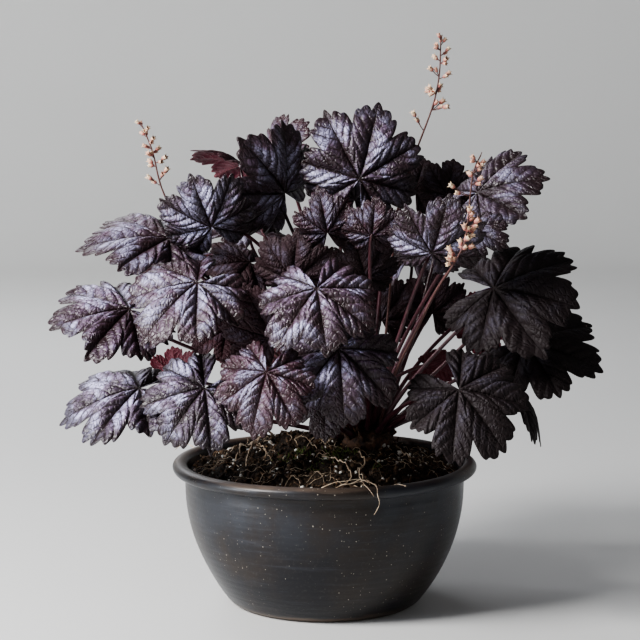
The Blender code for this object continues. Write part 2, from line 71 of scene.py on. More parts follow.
def makeLights(look):
    for name, (place, aim, size, power, colour) in look["lamps"].items():
        data = bpy.data.lights.new(name, "AREA")
        data.shape = "DISK"
        data.size = size
        data.energy = power
        data.color = colour
        lamp = bpy.data.objects.new(name, data)
        lamp.location = place
        x, y, z = np.subtract(aim, place)
        lamp.rotation_euler = (np.arctan2(np.hypot(x, y), -z), 0, np.arctan2(y, x) - pi / 2)
        lamp.visible_camera = False
        bpy.context.scene.collection.objects.link(lamp)
    world = bpy.data.worlds.new("studio")
    world.use_nodes = True
    sky = world.node_tree.nodes["Background"]
    sky.inputs["Color"].default_value = (*look["sky"], 1)
    sky.inputs["Strength"].default_value = look["skyPower"]
    bpy.context.scene.world = world
    bpy.context.scene.view_settings.look = look["look"]


makeCamera(cameraLook)
makeLights(lightLook)
print("camera and lights are in place")


# Surfaces as arrays: points, quads and triangles

def putMesh(name, points, quads, tris, finishes=(), faceFinish=None, smooth=True):
    # points is one row per vertex; quads and tris are index rows; faceFinish is one number per face
    mesh = bpy.data.meshes.new(name)
    mesh.vertices.add(len(points))
    mesh.vertices.foreach_set("co", np.asarray(points, np.float32).ravel())
    corners = np.concatenate((quads.ravel(), tris.ravel()))
    starts = np.concatenate((np.arange(len(quads)) * 4, len(quads) * 4 + np.arange(len(tris)) * 3))
    mesh.loops.add(len(corners))
    mesh.loops.foreach_set("vertex_index", corners.astype(np.int32))
    mesh.polygons.add(len(starts))
    mesh.polygons.foreach_set("loop_start", starts.astype(np.int32))
    mesh.update(calc_edges=True)
    for finish in finishes:
        mesh.materials.append(finish)
    if faceFinish is not None:
        mesh.polygons.foreach_set("material_index", np.asarray(faceFinish, np.int32))
    if smooth:
        mesh.shade_smooth()
    made = bpy.data.objects.new(name, mesh)
    bpy.context.scene.collection.objects.link(made)
    return made


def dressPiece(made, node):
    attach(made, "root")
    if node:
        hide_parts(node)


def makePiece(name, surface, finish, node, smooth=True):
    # a surface in millimetres becomes a visible piece
    points, quads, tris = surface
    made = putMesh(name, points * mm, quads, tris, (finish,), smooth=smooth)
    dressPiece(made, node)
    return made


def paintUv(made, name, places):
    # places is one (u, v) row per vertex, spread to the corners that use it
    layer = made.data.uv_layers.new(name=name)
    corner = np.zeros(len(made.data.loops), np.int32)
    made.data.loops.foreach_get("vertex_index", corner)
    layer.data.foreach_set("uv", np.asarray(places, np.float32)[corner].ravel())


def paintTone(made, values):
    layer = made.data.attributes.new("tone", "FLOAT_COLOR", "POINT")
    layer.data.foreach_set("color", np.asarray(values, np.float32).ravel())


def gridQuads(rows, columns, closed=False):
    # quads between neighbouring rows and columns of a grid; closed joins the last column to the first
    here = np.arange(rows * columns).reshape(rows, columns)
    after = np.roll(here, -1, axis=1)
    if not closed:
        here, after = here[:, :-1], after[:, :-1]
    return np.stack((here[:-1], after[:-1], after[1:], here[1:]), -1).reshape(-1, 4)


def fanTris(centre, ring):
    # triangles from a centre to each side of a closed ring
    return np.stack((np.full(len(ring), centre), ring, np.roll(ring, -1)), -1)


def closeGrid(grid, first, last):
    # a closed grid of rings with a pole at each end
    rows, sides = grid.shape[:2]
    count = rows * sides
    ring = np.arange(sides)
    tris = np.vstack((fanTris(count, ring)[:, ::-1], fanTris(count + 1, count - sides + ring)))
    return np.vstack((grid.reshape(-1, 3), (first, last))), gridQuads(rows, sides, closed=True), tris


def turnedGrid(profile, sides):
    # rows of (radius, height) turned about the z axis: a grid of points, one row a ring
    radius, high = np.asarray(profile, float).T[..., None]
    turn = 2 * pi * np.arange(sides) / sides
    return np.stack((radius * np.cos(turn), radius * np.sin(turn), np.repeat(high, sides, axis=1)), -1)


def unit(vectors):
    vectors = np.asarray(vectors, float)
    return vectors / np.linalg.norm(vectors, axis=-1, keepdims=True)


def spokes(turn, side, other):
    # the directions at each turn from side towards other
    return np.cos(turn)[:, None] * side[..., None, :] + np.sin(turn)[:, None] * other[..., None, :]


def tubeSurface(path, radii, sides, ripple=0.0):
    # a circle of the given radii is carried square to the path; both ends close on a point
    path = np.asarray(path, float)
    along = unit(np.gradient(path, axis=0))
    side = unit(np.cross(along[0], askew))
    across = np.zeros_like(along)
    for number, forward in enumerate(along):
        side = unit(side - forward * (side @ forward))
        across[number] = side
    turn = 2 * pi * np.arange(sides) / sides
    reach = np.asarray(radii)[:, None] * (1 + ripple * np.sin(3 * turn))
    grid = path[:, None] + reach[..., None] * spokes(turn, across, np.cross(along, across))
    return closeGrid(grid, path[0], path[-1])


def joinParts(parts):
    # one list of points, with the faces of every part moved up to its own points
    points, quads, tris = zip(*parts)
    starts = np.cumsum((0, *map(len, points)))
    return (np.vstack(points), np.vstack([rows + start for rows, start in zip(quads, starts)]),
            np.vstack([rows + start for rows, start in zip(tris, starts)]))


def smoothCurve(points, count, even=False):
    # a cubic through the points, each slope taken from its neighbours; marks go by chord or one by one
    points = np.asarray(points, float)
    steps = np.linalg.norm(np.diff(points, axis=0), axis=1)
    marks = np.arange(len(points), dtype=float) if even else np.concatenate(((0,), np.cumsum(steps)))
    slopes = np.gradient(points, marks, axis=0)
    place = np.linspace(0, marks[-1], count)
    k = np.clip(np.searchsorted(marks, place, side="right") - 1, 0, len(points) - 2)
    span = (marks[k + 1] - marks[k])[:, None]
    u = (place - marks[k])[:, None] / span
    return ((2 * u ** 3 - 3 * u ** 2 + 1) * points[k] + (u ** 3 - 2 * u ** 2 + u) * span * slopes[k]
            + (3 * u ** 2 - 2 * u ** 3) * points[k + 1] + (u ** 3 - u ** 2) * span * slopes[k + 1])


def softNoise(points, size, seed, waves=9):
    # a sum of sine waves in seeded directions whose lengths are near the given size; about -1 to 1
    rng = np.random.default_rng(seed)
    total = np.zeros(points.shape[:-1])
    for _ in range(waves):
        way = unit(rng.normal(size=3)) * (2 * pi / (size * rng.uniform(0.7, 1.5)))
        total += np.sin(points @ way + rng.uniform(0, 2 * pi))
    return total / np.sqrt(waves)


# Building blocks of the finishes

class Wire:
    # a socket of a shader tree, for sums and products that are written like plain ones
    def __init__(self, socket):
        self.socket = socket
        self.tree = socket.id_data

    def __add__(self, other):
        return calc("ADD", self, other)

    def __sub__(self, other):
        return calc("SUBTRACT", self, other)

    def __rsub__(self, other):
        return calc("SUBTRACT", other, self)

    def __mul__(self, other):
        return calc("MULTIPLY", self, other)


def feed(sockets, values):
    # values go in order or by name; a wire is linked and anything else becomes the socket's own value
    for key, value in values.items() if isinstance(values, dict) else enumerate(values):
        socket = sockets[key]
        if isinstance(value, Wire):
            value.tree.links.new(value.socket, socket)
        else:
            socket.default_value = (*value, 1) if socket.type == "RGBA" else value


def addNode(tree, kind, **inputs):
    node = tree.nodes.new("ShaderNode" + kind)
    feed(node.inputs, inputs)
    return node


def wires(sockets):
    return {socket.name: Wire(socket) for socket in sockets}


def calc(operation, *values, kind="Math"):
    node = addNode(next(value.tree for value in values if isinstance(value, Wire)), kind)
    node.operation = operation
    feed(node.inputs, values)
    return Wire(node.outputs[0])


def ramp(value, low, high, toLow=0.0, toHigh=1.0):
    # a smooth step from toLow at low to toHigh at high
    node = addNode(value.tree, "MapRange", Value=value)
    node.interpolation_type = "SMOOTHSTEP"
    feed(node.inputs, {"From Min": low, "From Max": high, "To Min": toLow, "To Max": toHigh})
    return Wire(node.outputs["Result"])


def mix(part, first, second):
    # the given part of the way from the first colour to the second
    node = addNode(part.tree, "Mix", Factor=part)
    node.data_type = "RGBA"
    feed([socket for socket in node.inputs if socket.type == "RGBA"], (first, second))
    return Wire([socket for socket in node.outputs if socket.type == "RGBA"][0])


def noise(place, scale, detail=3.0, rough=0.55):
    node = addNode(place.tree, "TexNoise", Vector=place, Scale=scale, Detail=detail, Roughness=rough)
    return Wire(node.outputs["Fac"])


def scaled(place, factors):
    return Wire(addNode(place.tree, "Mapping", Vector=place, Scale=factors).outputs["Vector"])


def split(wire, kind):
    # kind is XYZ or Color; the answer is three wires
    node = addNode(wire.tree, "Separate" + kind)
    feed(node.inputs, (wire,))
    return [Wire(socket) for socket in node.outputs]


def objectPlace(tree):
    return Wire(addNode(tree, "TexCoord").outputs["Object"])


def flatPlace(tree):
    node = addNode(tree, "UVMap")
    node.uv_map = "flat"
    return Wire(node.outputs["UV"])


def pointTone(tree):
    # the painted colour and its alpha
    node = addNode(tree, "Attribute")
    node.attribute_name = "tone"
    return Wire(node.outputs["Color"]), Wire(node.outputs["Alpha"])


def newGroup(name, place, values, results):
    # a node group that takes a place and some values
    tree = bpy.data.node_groups.new(name, "ShaderNodeTree")
    rows = [(place, "INPUT", "Vector"), *((label, "INPUT", "Float") for label in values),
            *((label, "OUTPUT", "Float") for label in results)]
    for label, way, kind in rows:
        tree.interface.new_socket(name=label, in_out=way, socket_type="NodeSocket" + kind)
    return tree, wires(tree.nodes.new("NodeGroupInput").outputs), tree.nodes.new("NodeGroupOutput").inputs


def placeGroup(tree, group, **values):
    node = addNode(tree, "Group")
    node.node_tree = group
    feed(node.inputs, values)
    return wires(node.outputs)


def newFinish(name, roughness=0.5, specular=0.5, coat=0.0, coatRoughness=0.3, sheen=0.0):
    finish = bpy.data.materials.new(name)
    finish.use_nodes = True
    feed(finish.node_tree.nodes["Principled BSDF"].inputs, {
        "Roughness": roughness, "Specular IOR Level": specular, "Coat Weight": coat,
        "Coat Roughness": coatRoughness, "Sheen Weight": sheen})
    return finish, finish.node_tree


def wireFinish(finish, colour, relief, strength, distance, rough=None):
    # links the colour, the relief and, where it varies, the roughness
    bump = addNode(finish.node_tree, "Bump", Height=relief, Strength=strength, Distance=distance)
    values = {"Base Color": colour, "Normal": Wire(bump.outputs["Normal"])}
    if rough is not None:
        values["Roughness"] = rough
    feed(finish.node_tree.nodes["Principled BSDF"].inputs, values)
    return finish


# Leaf finish

leafShape = {"step": 46.0, "lobeReach": (0.66, 0.79, 0.91, 1.0, 0.91, 0.79, 0.66), "lobeSpread": 0.03,
             "sinus": 0.75, "lobePower": 5.2, "round": 0.01, "lean": 0.10, "teeth": 5, "toothShift": 0.9,
             "toothDepth": 0.085, "toothSpread": 0.35, "lobules": 0.020, "droop": 46.0, "sideDroop": 30.0,
             "backDroop": 0.35, "ruffle": 0.060, "cup": 0.06, "pleat": 0.115, "vein": 0.020, "sideVeins": 6.5,
             "veinSlant": 1.25, "tipCurl": 0.020, "blade": 0.45, "jointInset": 2.6}
leafColours = {"plum": ((0.0120, 0.0075, 0.0078), (0.038, 0.011, 0.015)),
               "rose": ((0.20, 0.155, 0.25), (0.25, 0.13, 0.20)), "lilac": (0.52, 0.50, 0.74),
               "under": ((0.060, 0.006, 0.014), (0.125, 0.016, 0.030)), "ribs": (0.17, 0.045, 0.055),
               "stalk": ((0.030, 0.008, 0.012), (0.080, 0.022, 0.031)), "streaks": (0.135, 0.070, 0.066)}


def makeVeinGroup(shape):
    # Lobe k lies round k steps of angle. Along a lobe a = r cos d and across it b = r sin d.
    # The main vein is b = 0; side veins are the lines where sideVeins (a - veinSlant |b|) is a whole number.
    tree, given, put = newGroup("leafVeins", "Flat", (), ("Main", "Side", "Net", "Bulge", "Halo"))
    wander = wires(addNode(tree, "TexNoise", Vector=given["Flat"], Scale=5.0, Detail=2.0).outputs)
    stray = wander["Fac"] - 0.5
    x, y, _ = split(given["Flat"], "XYZ")
    reach = calc("SQRT", x * x + y * y)
    turn = calc("ARCTAN2", y, x)
    step = radians(shape["step"])
    lobe = calc("MINIMUM", calc("MAXIMUM", calc("ROUND", calc("DIVIDE", turn, step)), -3.0), 3.0)
    apart = turn - lobe * step
    a = reach * calc("COSINE", apart)
    b = reach * calc("SINE", apart) + stray * (a * 0.06)
    off = calc("ABSOLUTE", b)
    width = a * -0.012 + 0.020
    main = ramp(off, width * 0.35, width, 1.0, 0.0)
    halo = ramp(off, 0.0, a * 0.10 + 0.045, 1.0, 0.0)
    phase = a * shape["sideVeins"] - off * (shape["sideVeins"] * shape["veinSlant"])
    gap = calc("PINGPONG", phase + calc("GREATER_THAN", b, 0.0) * 0.5 + stray * 0.55, 0.5)
    side = ramp(gap, 0.02, 0.10, 1.0, 0.0)
    moved = calc("MULTIPLY_ADD", wander["Color"], (0.05, 0.05, 0.0), given["Flat"], kind="VectorMath")
    cell = addNode(tree, "TexVoronoi", Vector=moved, Scale=17.0)
    cell.feature = "DISTANCE_TO_EDGE"
    inside = Wire(cell.outputs["Distance"])
    net = ramp(inside, 0.012, 0.075, 1.0, 0.0)
    bulge = ramp(gap, 0.0, 0.32) * 0.55 + ramp(inside, 0.0, 0.26, 0.0, 0.52) - main * 0.6
    feed(put, (main, side, net, bulge, halo))
    return tree


def makeUpperFinish(veins, colours, name, gloss, specular):
    # tone holds the silver at each point, cut as painted shade where a flank faces away from the key light,
    # the leaf's warmth and shift of pattern, and how near the margin is
    finish, tree = newFinish(name, specular=specular)
    flat = flatPlace(tree)
    tone, margin = pointTone(tree)
    silverAndShade, warmth, _ = split(tone, "Color")
    drawn = placeGroup(tree, veins, Flat=flat)
    moved = calc("MULTIPLY_ADD", tone, (0.0, 0.0, 40.0), flat, kind="VectorMath")
    patch = noise(moved, 2.6)
    grain = noise(moved, 24.0, 3.0, 0.6)
    edge = ramp(margin + patch * 0.22, 0.90, 1.07)
    shine = ramp(grain * 0.16 + patch, 0.40, 0.62, 0.14, 1.0) * silverAndShade
    shine *= ramp(drawn["Bulge"], 0.02, 0.50, 0.42, 1.0)
    for mask, depth in (("Main", 0.97), ("Side", 0.80), ("Net", 0.72)):
        shine *= drawn[mask] * -depth + 1.0
    shine *= 1.0 - drawn["Halo"] * (patch * -0.9 + 1.15)
    shine *= edge * -0.85 + 1.0
    rose = mix(warmth, *colours["rose"])
    lilac = mix(ramp(patch, 0.46, 0.58), rose, colours["lilac"])
    colour = mix(shine, mix(warmth, *colours["plum"]), lilac)
    rough = shine * 0.10 + grain * 0.18 + gloss
    return wireFinish(finish, colour, grain * 0.05 + drawn["Bulge"], 0.75, 0.0010, rough)


def makeUnderFinish(veins, colours):
    finish, tree = newFinish("leafUnder", roughness=0.48, specular=0.4)
    drawn = placeGroup(tree, veins, Flat=flatPlace(tree))
    base = mix(noise(objectPlace(tree), 60.0, 4.0), *colours["under"])
    ribs = calc("MAXIMUM", drawn["Main"], drawn["Side"] * 0.5)
    return wireFinish(finish, mix(ribs, base, colours["ribs"]), ribs - drawn["Bulge"] * 0.5, 0.7, 0.0008)


def makeStalkFinish(colours):
    finish, tree = newFinish("stalk", roughness=0.30)
    place = objectPlace(tree)
    streak = noise(scaled(place, (1.0, 1.0, 0.25)), 420.0)
    base = mix(ramp(noise(place, 28.0), 0.35, 0.7), *colours["stalk"])
    colour = mix(ramp(streak, 0.55, 0.75, 0.0, 0.5), base, colours["streaks"])
    return wireFinish(finish, colour, streak, 0.4, 0.0004)


veinGroup = makeVeinGroup(leafShape)
upperFinish = makeUpperFinish(veinGroup, leafColours, "leafUpper", 0.31, 0.45)
shadeFinish = makeUpperFinish(veinGroup, leafColours, "leafShade", 0.52, 0.28)
underFinish = makeUnderFinish(veinGroup, leafColours)
stalkFinish = makeStalkFinish(leafColours)
print("leaf finishes are made")


# Leaves: name, joint, tip, the way the upper face looks, and silver, warmth and crumple of the look; on the
# right-hand, inner and deep leaves the low silver is partly their own dark colour and partly painted shade

leafRows = (
    ("top", (27, -17, 336), (41, -1, 389), (6, 12), 0.76, 0.22, 0.50),
    ("top_left", (-31, -2, 324), (-60, -28, 362), (-12, 35), 1.00, 0.30, 0.60),
    ("top_back", (-39, 45, 349), (-15, 36, 375), (-30, 25), 0.28, 0.70, 0.60),
    ("back_left_red", (-66, 60, 342), (-107, 74, 346), (180, 65), 0.05, 1.00, 0.30),
    ("upper_left", (-86, -42, 301), (-101, -53, 341), (-15, 32), 1.00, 0.20, 0.60),
    ("left_wing", (-120, -22, 290), (-182, -30, 285), (-20, 63), 0.50, 0.35, 0.80),
    ("left_outer", (-149, -45, 238), (-204, -58, 226), (-25, 48), 0.85, 0.30, 0.85),
    ("left_centre", (-94, -96, 264), (-130, -116, 228), (-15, 40), 0.68, 0.40, 0.90),
    ("left_shade", (-77, -15, 218), (-99, -30, 205), (-10, 30), 0.06, 0.90, 0.50),
    ("low_left_outer", (-140, -70, 181), (-196, -74, 158), (-25, 62), 0.92, 0.10, 0.65),
    ("low_left", (-89, -100, 186), (-117, -112, 147), (-5, 32), 0.90, 0.15, 0.70),
    ("back_left_low", (-120, 25, 175), (-122, 33, 198), (180, 20), 0.05, 1.00, 0.30),
    ("centre", (-6, -118, 262), (2, -142, 216), (0, 25), 0.92, 0.35, 0.75),
    ("centre_low", (10, -112, 217), (14, -130, 166), (5, 25), 1.00, 0.30, 0.60),
    ("front_left", (-42, -140, 204), (-52, -152, 163), (-5, 25), 0.60, 0.70, 0.95),
    ("dark_left", (-39, -78, 221), (-58, -88, 257), (-10, 25), 0.12, 0.60, 0.60),
    ("right_centre", (79, -95, 286), (89, -110, 325), (5, 20), 0.75, 0.30, 0.70),
    ("right_upper", (117, -30, 326), (164, -43, 337), (15, 45), 0.50, 0.20, 0.50),
    ("right_upper_low", (108, -64, 300), (134, -78, 290), (10, 30), 0.40, 0.30, 0.70),
    ("right_back_a", (72, 30, 324), (80, 45, 347), (0, 20), 0.08, 0.30, 0.50),
    ("right_back_b", (97, 20, 321), (103, 30, 348), (0, 20), 0.08, 0.30, 0.50),
    ("right_mid", (129, -45, 254), (191, -63, 241), (15, 35), 0.05, 0.05, 0.60),
    ("right_far", (155, -20, 209), (210, -30, 191), (20, 40), 0.03, 0.05, 0.50),
    ("low_right", (98, -118, 188), (130, -132, 145), (8, 25), 0.06, 0.05, 0.60),
    ("right_drooper", (141, -81, 183), (162, -81, 143), (85, 20), 0.04, 0.05, 0.50),
    ("right_red", (119, 14, 214), (140, 24, 236), (180, 10), 0.05, 0.80, 0.40),
    ("right_shade", (80, 15, 186), (102, 25, 176), (180, 20), 0.08, 0.60, 0.50),
    ("young_left", (2, -36, 296), (-4, -42, 326), (0, 10), 0.42, 0.70, 1.00),
    ("young_right", (36, -44, 294), (38, -52, 322), (0, 10), 0.42, 0.70, 1.00),
    ("inner_dark", (32, -14, 259), (22, -20, 292), (-5, 20), 0.10, 0.25, 0.60),
    ("inner_left_high", (-58, -18, 271), (-92, -32, 268), (-20, 42), 0.10, 0.45, 0.80),
    ("inner_centre", (-24, -48, 262), (-20, -60, 299), (-5, 25), 0.12, 0.45, 0.90),
    ("right_dark", (46, 34, 219), (41, 42, 254), (0, 15), 0.06, 0.40, 0.60),
    ("right_deep", (88, 58, 222), (92, 58, 256), (10, 15), 0.05, 0.50, 0.50),
    ("under_centre", (0, -85, 186), (0, -100, 151), (0, 10), 0.22, 0.30, 0.50),
    ("back_top", (25, 90, 312), (18, 140, 343), (180, 40), 0.55, 0.30, 0.50),
    ("back_top_left", (-62, 100, 287), (-85, 150, 278), (200, 45), 0.55, 0.30, 0.50),
    ("back_left_high", (-102, 70, 269), (-129, 110, 248), (215, 40), 0.55, 0.30, 0.50),
    ("back_left", (-109, 60, 233), (-144, 90, 229), (230, 45), 0.55, 0.30, 0.50),
    ("back_centre", (-12, 120, 234), (-21, 165, 203), (180, 35), 0.55, 0.30, 0.50),
    ("back_low", (24, 128, 173), (24, 158, 133), (180, 25), 0.55, 0.30, 0.50),
    ("back_low_left", (-46, 120, 183), (-60, 150, 148), (190, 25), 0.55, 0.30, 0.50),
    ("back_top_right", (71, 90, 267), (86, 140, 287), (170, 45), 0.55, 0.30, 0.50),
    ("back_right", (146, 50, 246), (182, 80, 230), (150, 45), 0.55, 0.30, 0.50),
    ("back_low_right", (104, 80, 147), (132, 110, 116), (150, 35), 0.55, 0.30, 0.50),
)
# four entries set the painted light on the silver: the key light's direction, the middle and span of the
# ramp, and the least silver left on flanks turned away, which is painted shade
leafMesh = {"grades": {"main": (22, 35), "small": (16, 28), "back": (15, 21)}, "smallest": 40,
            "firstRing": 0.02, "plain": 0.15, "paintedLightSide": (-0.62, -0.35, 0.70), "paintedLightMiddle": 0.62,
            "paintedLightSpan": 0.44, "paintedLightLeast": 0.14, "stalkSides": 11, "stalkRings": 40,
            "stalkRadius": (1.75, 1.2), "sheath": 0.9, "seed": 7, "leafSeed": 100}
crownShape = {"middle": (33, 2, 127), "radii": (22, 22, 17), "seatReach": 1.12}
petioleMarks = (0, 0.04, 0.20, 0.42, 0.70)


def facingVector(azimuth, elevation):
    a = radians(azimuth)
    e = radians(elevation)
    return np.array((sin(a) * cos(e), -cos(a) * cos(e), sin(e)))


def leafAxes(joint, tip, facing, shape):
    # along the midrib, out of the upper face and across it, turned back by half the droop, and the reach
    chord = np.subtract(tip, joint).astype(float)
    length = np.linalg.norm(chord)
    chord = chord / length
    out = facingVector(*facing)
    out = unit(out - chord * (out @ chord))
    half = radians(shape["droop"]) / 2
    along = chord * cos(half) + out * sin(half)
    normal = out * cos(half) - chord * sin(half)
    return along, normal, np.cross(normal, along), length * half / sin(half)


def leafOutline(columns, shape, rng):
    # Across a lobe w runs from -1 to 1. The reach falls from the lobe's own at w = 0 to the sinus at both
    # ends, where it meets the next lobe halfway, and carries rounded teeth and three wider lobules.
    lobes = len(shape["lobeReach"])
    w = np.linspace(-1, 1, columns + 1)[:-1]
    w = np.concatenate((np.tile(w, lobes), (1.0,)))
    lobe = np.minimum(np.arange(len(w)) // columns, lobes - 1)
    centres = shape["step"] * (np.arange(lobes) - (lobes - 1) / 2)
    angle = centres[lobe] + shape["step"] / 2 * w
    reaches = shape["lobeReach"] * rng.uniform(1 - shape["lobeSpread"], 1 + shape["lobeSpread"], lobes)
    meet = shape["sinus"] * np.interp(angle, centres, reaches)
    full = reaches[lobe] * (1 - shape["round"] * w ** 2)
    lean = rng.uniform(-shape["lean"], shape["lean"], lobes)[lobe]
    fall = np.abs(w + lean * (1 - w ** 2)) ** shape["lobePower"]
    shift = rng.uniform(-shape["toothShift"], shape["toothShift"], lobes)[lobe]
    teeth = np.abs(np.sin(shape["teeth"] * pi * (w + 1) / 2 + shift * (1 - w ** 2))) ** 0.9
    depth = shape["toothDepth"] * (1 + shape["toothSpread"] * np.sin(2.3 * lobe + 7 * w + rng.uniform(0, 6)))
    lobules = shape["lobules"] * (np.abs(np.sin(1.5 * pi * (w + 1))) - 0.6)
    notch = (depth * (teeth - 0.6) + lobules) * (1 - np.abs(w) ** 6)
    return np.radians(angle), (full * (1 - fall) + meet * fall) * (1 + notch)


def bladeLift(reach, angle, margin, shape, phase, crumple):
    # In parts of the blade's reach r: a pleat sunk on every main vein, side veins sunk between bulges,
    # a ruffle r^3 sin(3 angle + phase) that grows to the margin, a cup r (1 - r), waves and a turned-down tip
    step = radians(shape["step"])
    apart = angle - step * np.clip(np.round(angle / step), -3, 3)
    half = np.clip(np.abs(apart) / (step / 2), 0, 1)
    pleat = shape["pleat"] * reach * (2 * np.sin(pi / 2 * half) ** 0.8 - 1) * (1 - 0.65 * margin ** 3)
    a = reach * np.cos(apart)
    b = reach * np.sin(apart)
    vein = shape["sideVeins"] * (a - shape["veinSlant"] * np.abs(b)) + 0.5 * (b > 0)
    near = np.clip(np.abs(b) / 0.05, 0, 1) * np.clip((1.02 - margin) / 0.15, 0, 1)
    bulge = shape["vein"] * (np.abs(np.sin(pi * vein)) ** 0.8 - 0.5) * near
    waves = 0.020 * reach ** 2 * np.sin(8 * angle + 2.3 * phase) * np.sin(5 * reach + phase)
    waves += 0.034 * reach ** 4 * np.sin(5 * angle + 1.7 * phase)
    waves += 0.040 * margin ** 4 * np.sin(13 * angle + 3.1 * phase)
    ruffle = shape["ruffle"] * reach ** 3 * np.sin(3 * angle + phase)
    curl = shape["tipCurl"] * np.clip((margin - 0.6) / 0.4, 0, 1) ** 2 * reach
    return pleat + bulge + ruffle - shape["cup"] * reach * (1 - reach) + crumple * waves - curl


def bladePoints(joint, axes, lift, reach, angle, shape):
    # The flat leaf is bent along its midrib by the droop and down its sides by the side droop.
    along, normal, across, size = axes
    x = reach * np.cos(angle)
    y = reach * np.sin(angle)
    bend = radians(shape["droop"]) * np.where(x > 0, 1.0, shape["backDroop"])
    turn = bend * x
    sideBend = radians(shape["sideDroop"])
    length = np.sin(turn) / bend - lift * np.sin(turn)
    height = lift * np.cos(turn) - (1 - np.cos(turn)) / bend - (1 - np.cos(sideBend * np.abs(y))) / sideBend
    width = np.sin(sideBend * y) / sideBend
    return joint + size * (length[..., None] * along + height[..., None] * normal + width[..., None] * across)


def bladeFaces(rings, wide):
    # faces of one sheet of rings and then a pole, and of a wall from it to the next sheet
    pole = rings * wide
    sheet = gridQuads(rings, wide)[:, ::-1]
    fan = fanTris(pole, np.arange(wide))[:-1]
    left = np.arange(0, pole, wide)
    edge = np.concatenate(((pole,), left[:-1], np.arange(left[-1], pole), left[:0:-1] - 1))
    after = np.roll(edge, -1)
    return sheet, fan, np.stack((edge + pole + 1, after + pole + 1, after, edge), -1)


def weldedNode(name):
    # a CAD node's points in millimetres with doubles merged, and which of them share an edge
    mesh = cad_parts[name].data
    flat = np.zeros(len(mesh.vertices) * 3, np.float32)
    mesh.vertices.foreach_get("co", flat)
    points, index = np.unique(np.round(flat.reshape(-1, 3) / mm, 3), axis=0, return_inverse=True)
    corners = np.zeros(len(mesh.loops), np.int32)
    mesh.loops.foreach_get("vertex_index", corners)
    tri = index.ravel()[corners].reshape(-1, 3)
    linked = np.zeros((len(points), len(points)), bool)
    for i, j in ((0, 1), (1, 2), (2, 0)):
        linked[tri[:, i], tri[:, j]] = True
        linked[tri[:, j], tri[:, i]] = True
    return points, linked


def stalkRings(name, count):
    # middles of the rings of a stalk, one edge apart, from the ring that stands on the crown's dome outwards
    points, linked = weldedNode(name)
    away = np.linalg.norm((points - crownShape["middle"]) / crownShape["radii"], axis=1)
    ring = away < crownShape["seatReach"]
    seen = ring.copy()
    middles = []
    for _ in range(count):
        middles.append(points[ring].mean(axis=0))
        ring = linked[ring].any(axis=0) & ~seen
        seen |= ring
    return np.array(middles)


def stalkCurve(name, joint, steps):
    # the cubic through the rings of the node's stalk and its joint, by least squares
    through = np.vstack((stalkRings(name, len(petioleMarks)), joint))
    factors = np.linalg.lstsq(np.vander((*petioleMarks, 1.0), 4), through, rcond=None)[0]
    return np.vander(np.linspace(0, 1, steps), 4) @ factors


def stalkSurface(name, seat, look):
    # a stalk that widens to a sheath on the crown and narrows into its joint
    path = stalkCurve(name, seat, look["stalkRings"])
    mark = np.linspace(0, 1, len(path))
    radii = np.interp(mark, (0, 1), look["stalkRadius"]) + look["sheath"] * np.exp(-mark * 14)
    radii[-3:] *= (0.9, 0.7, 0.3)
    return tubeSurface(path, radii, look["stalkSides"], ripple=0.05)


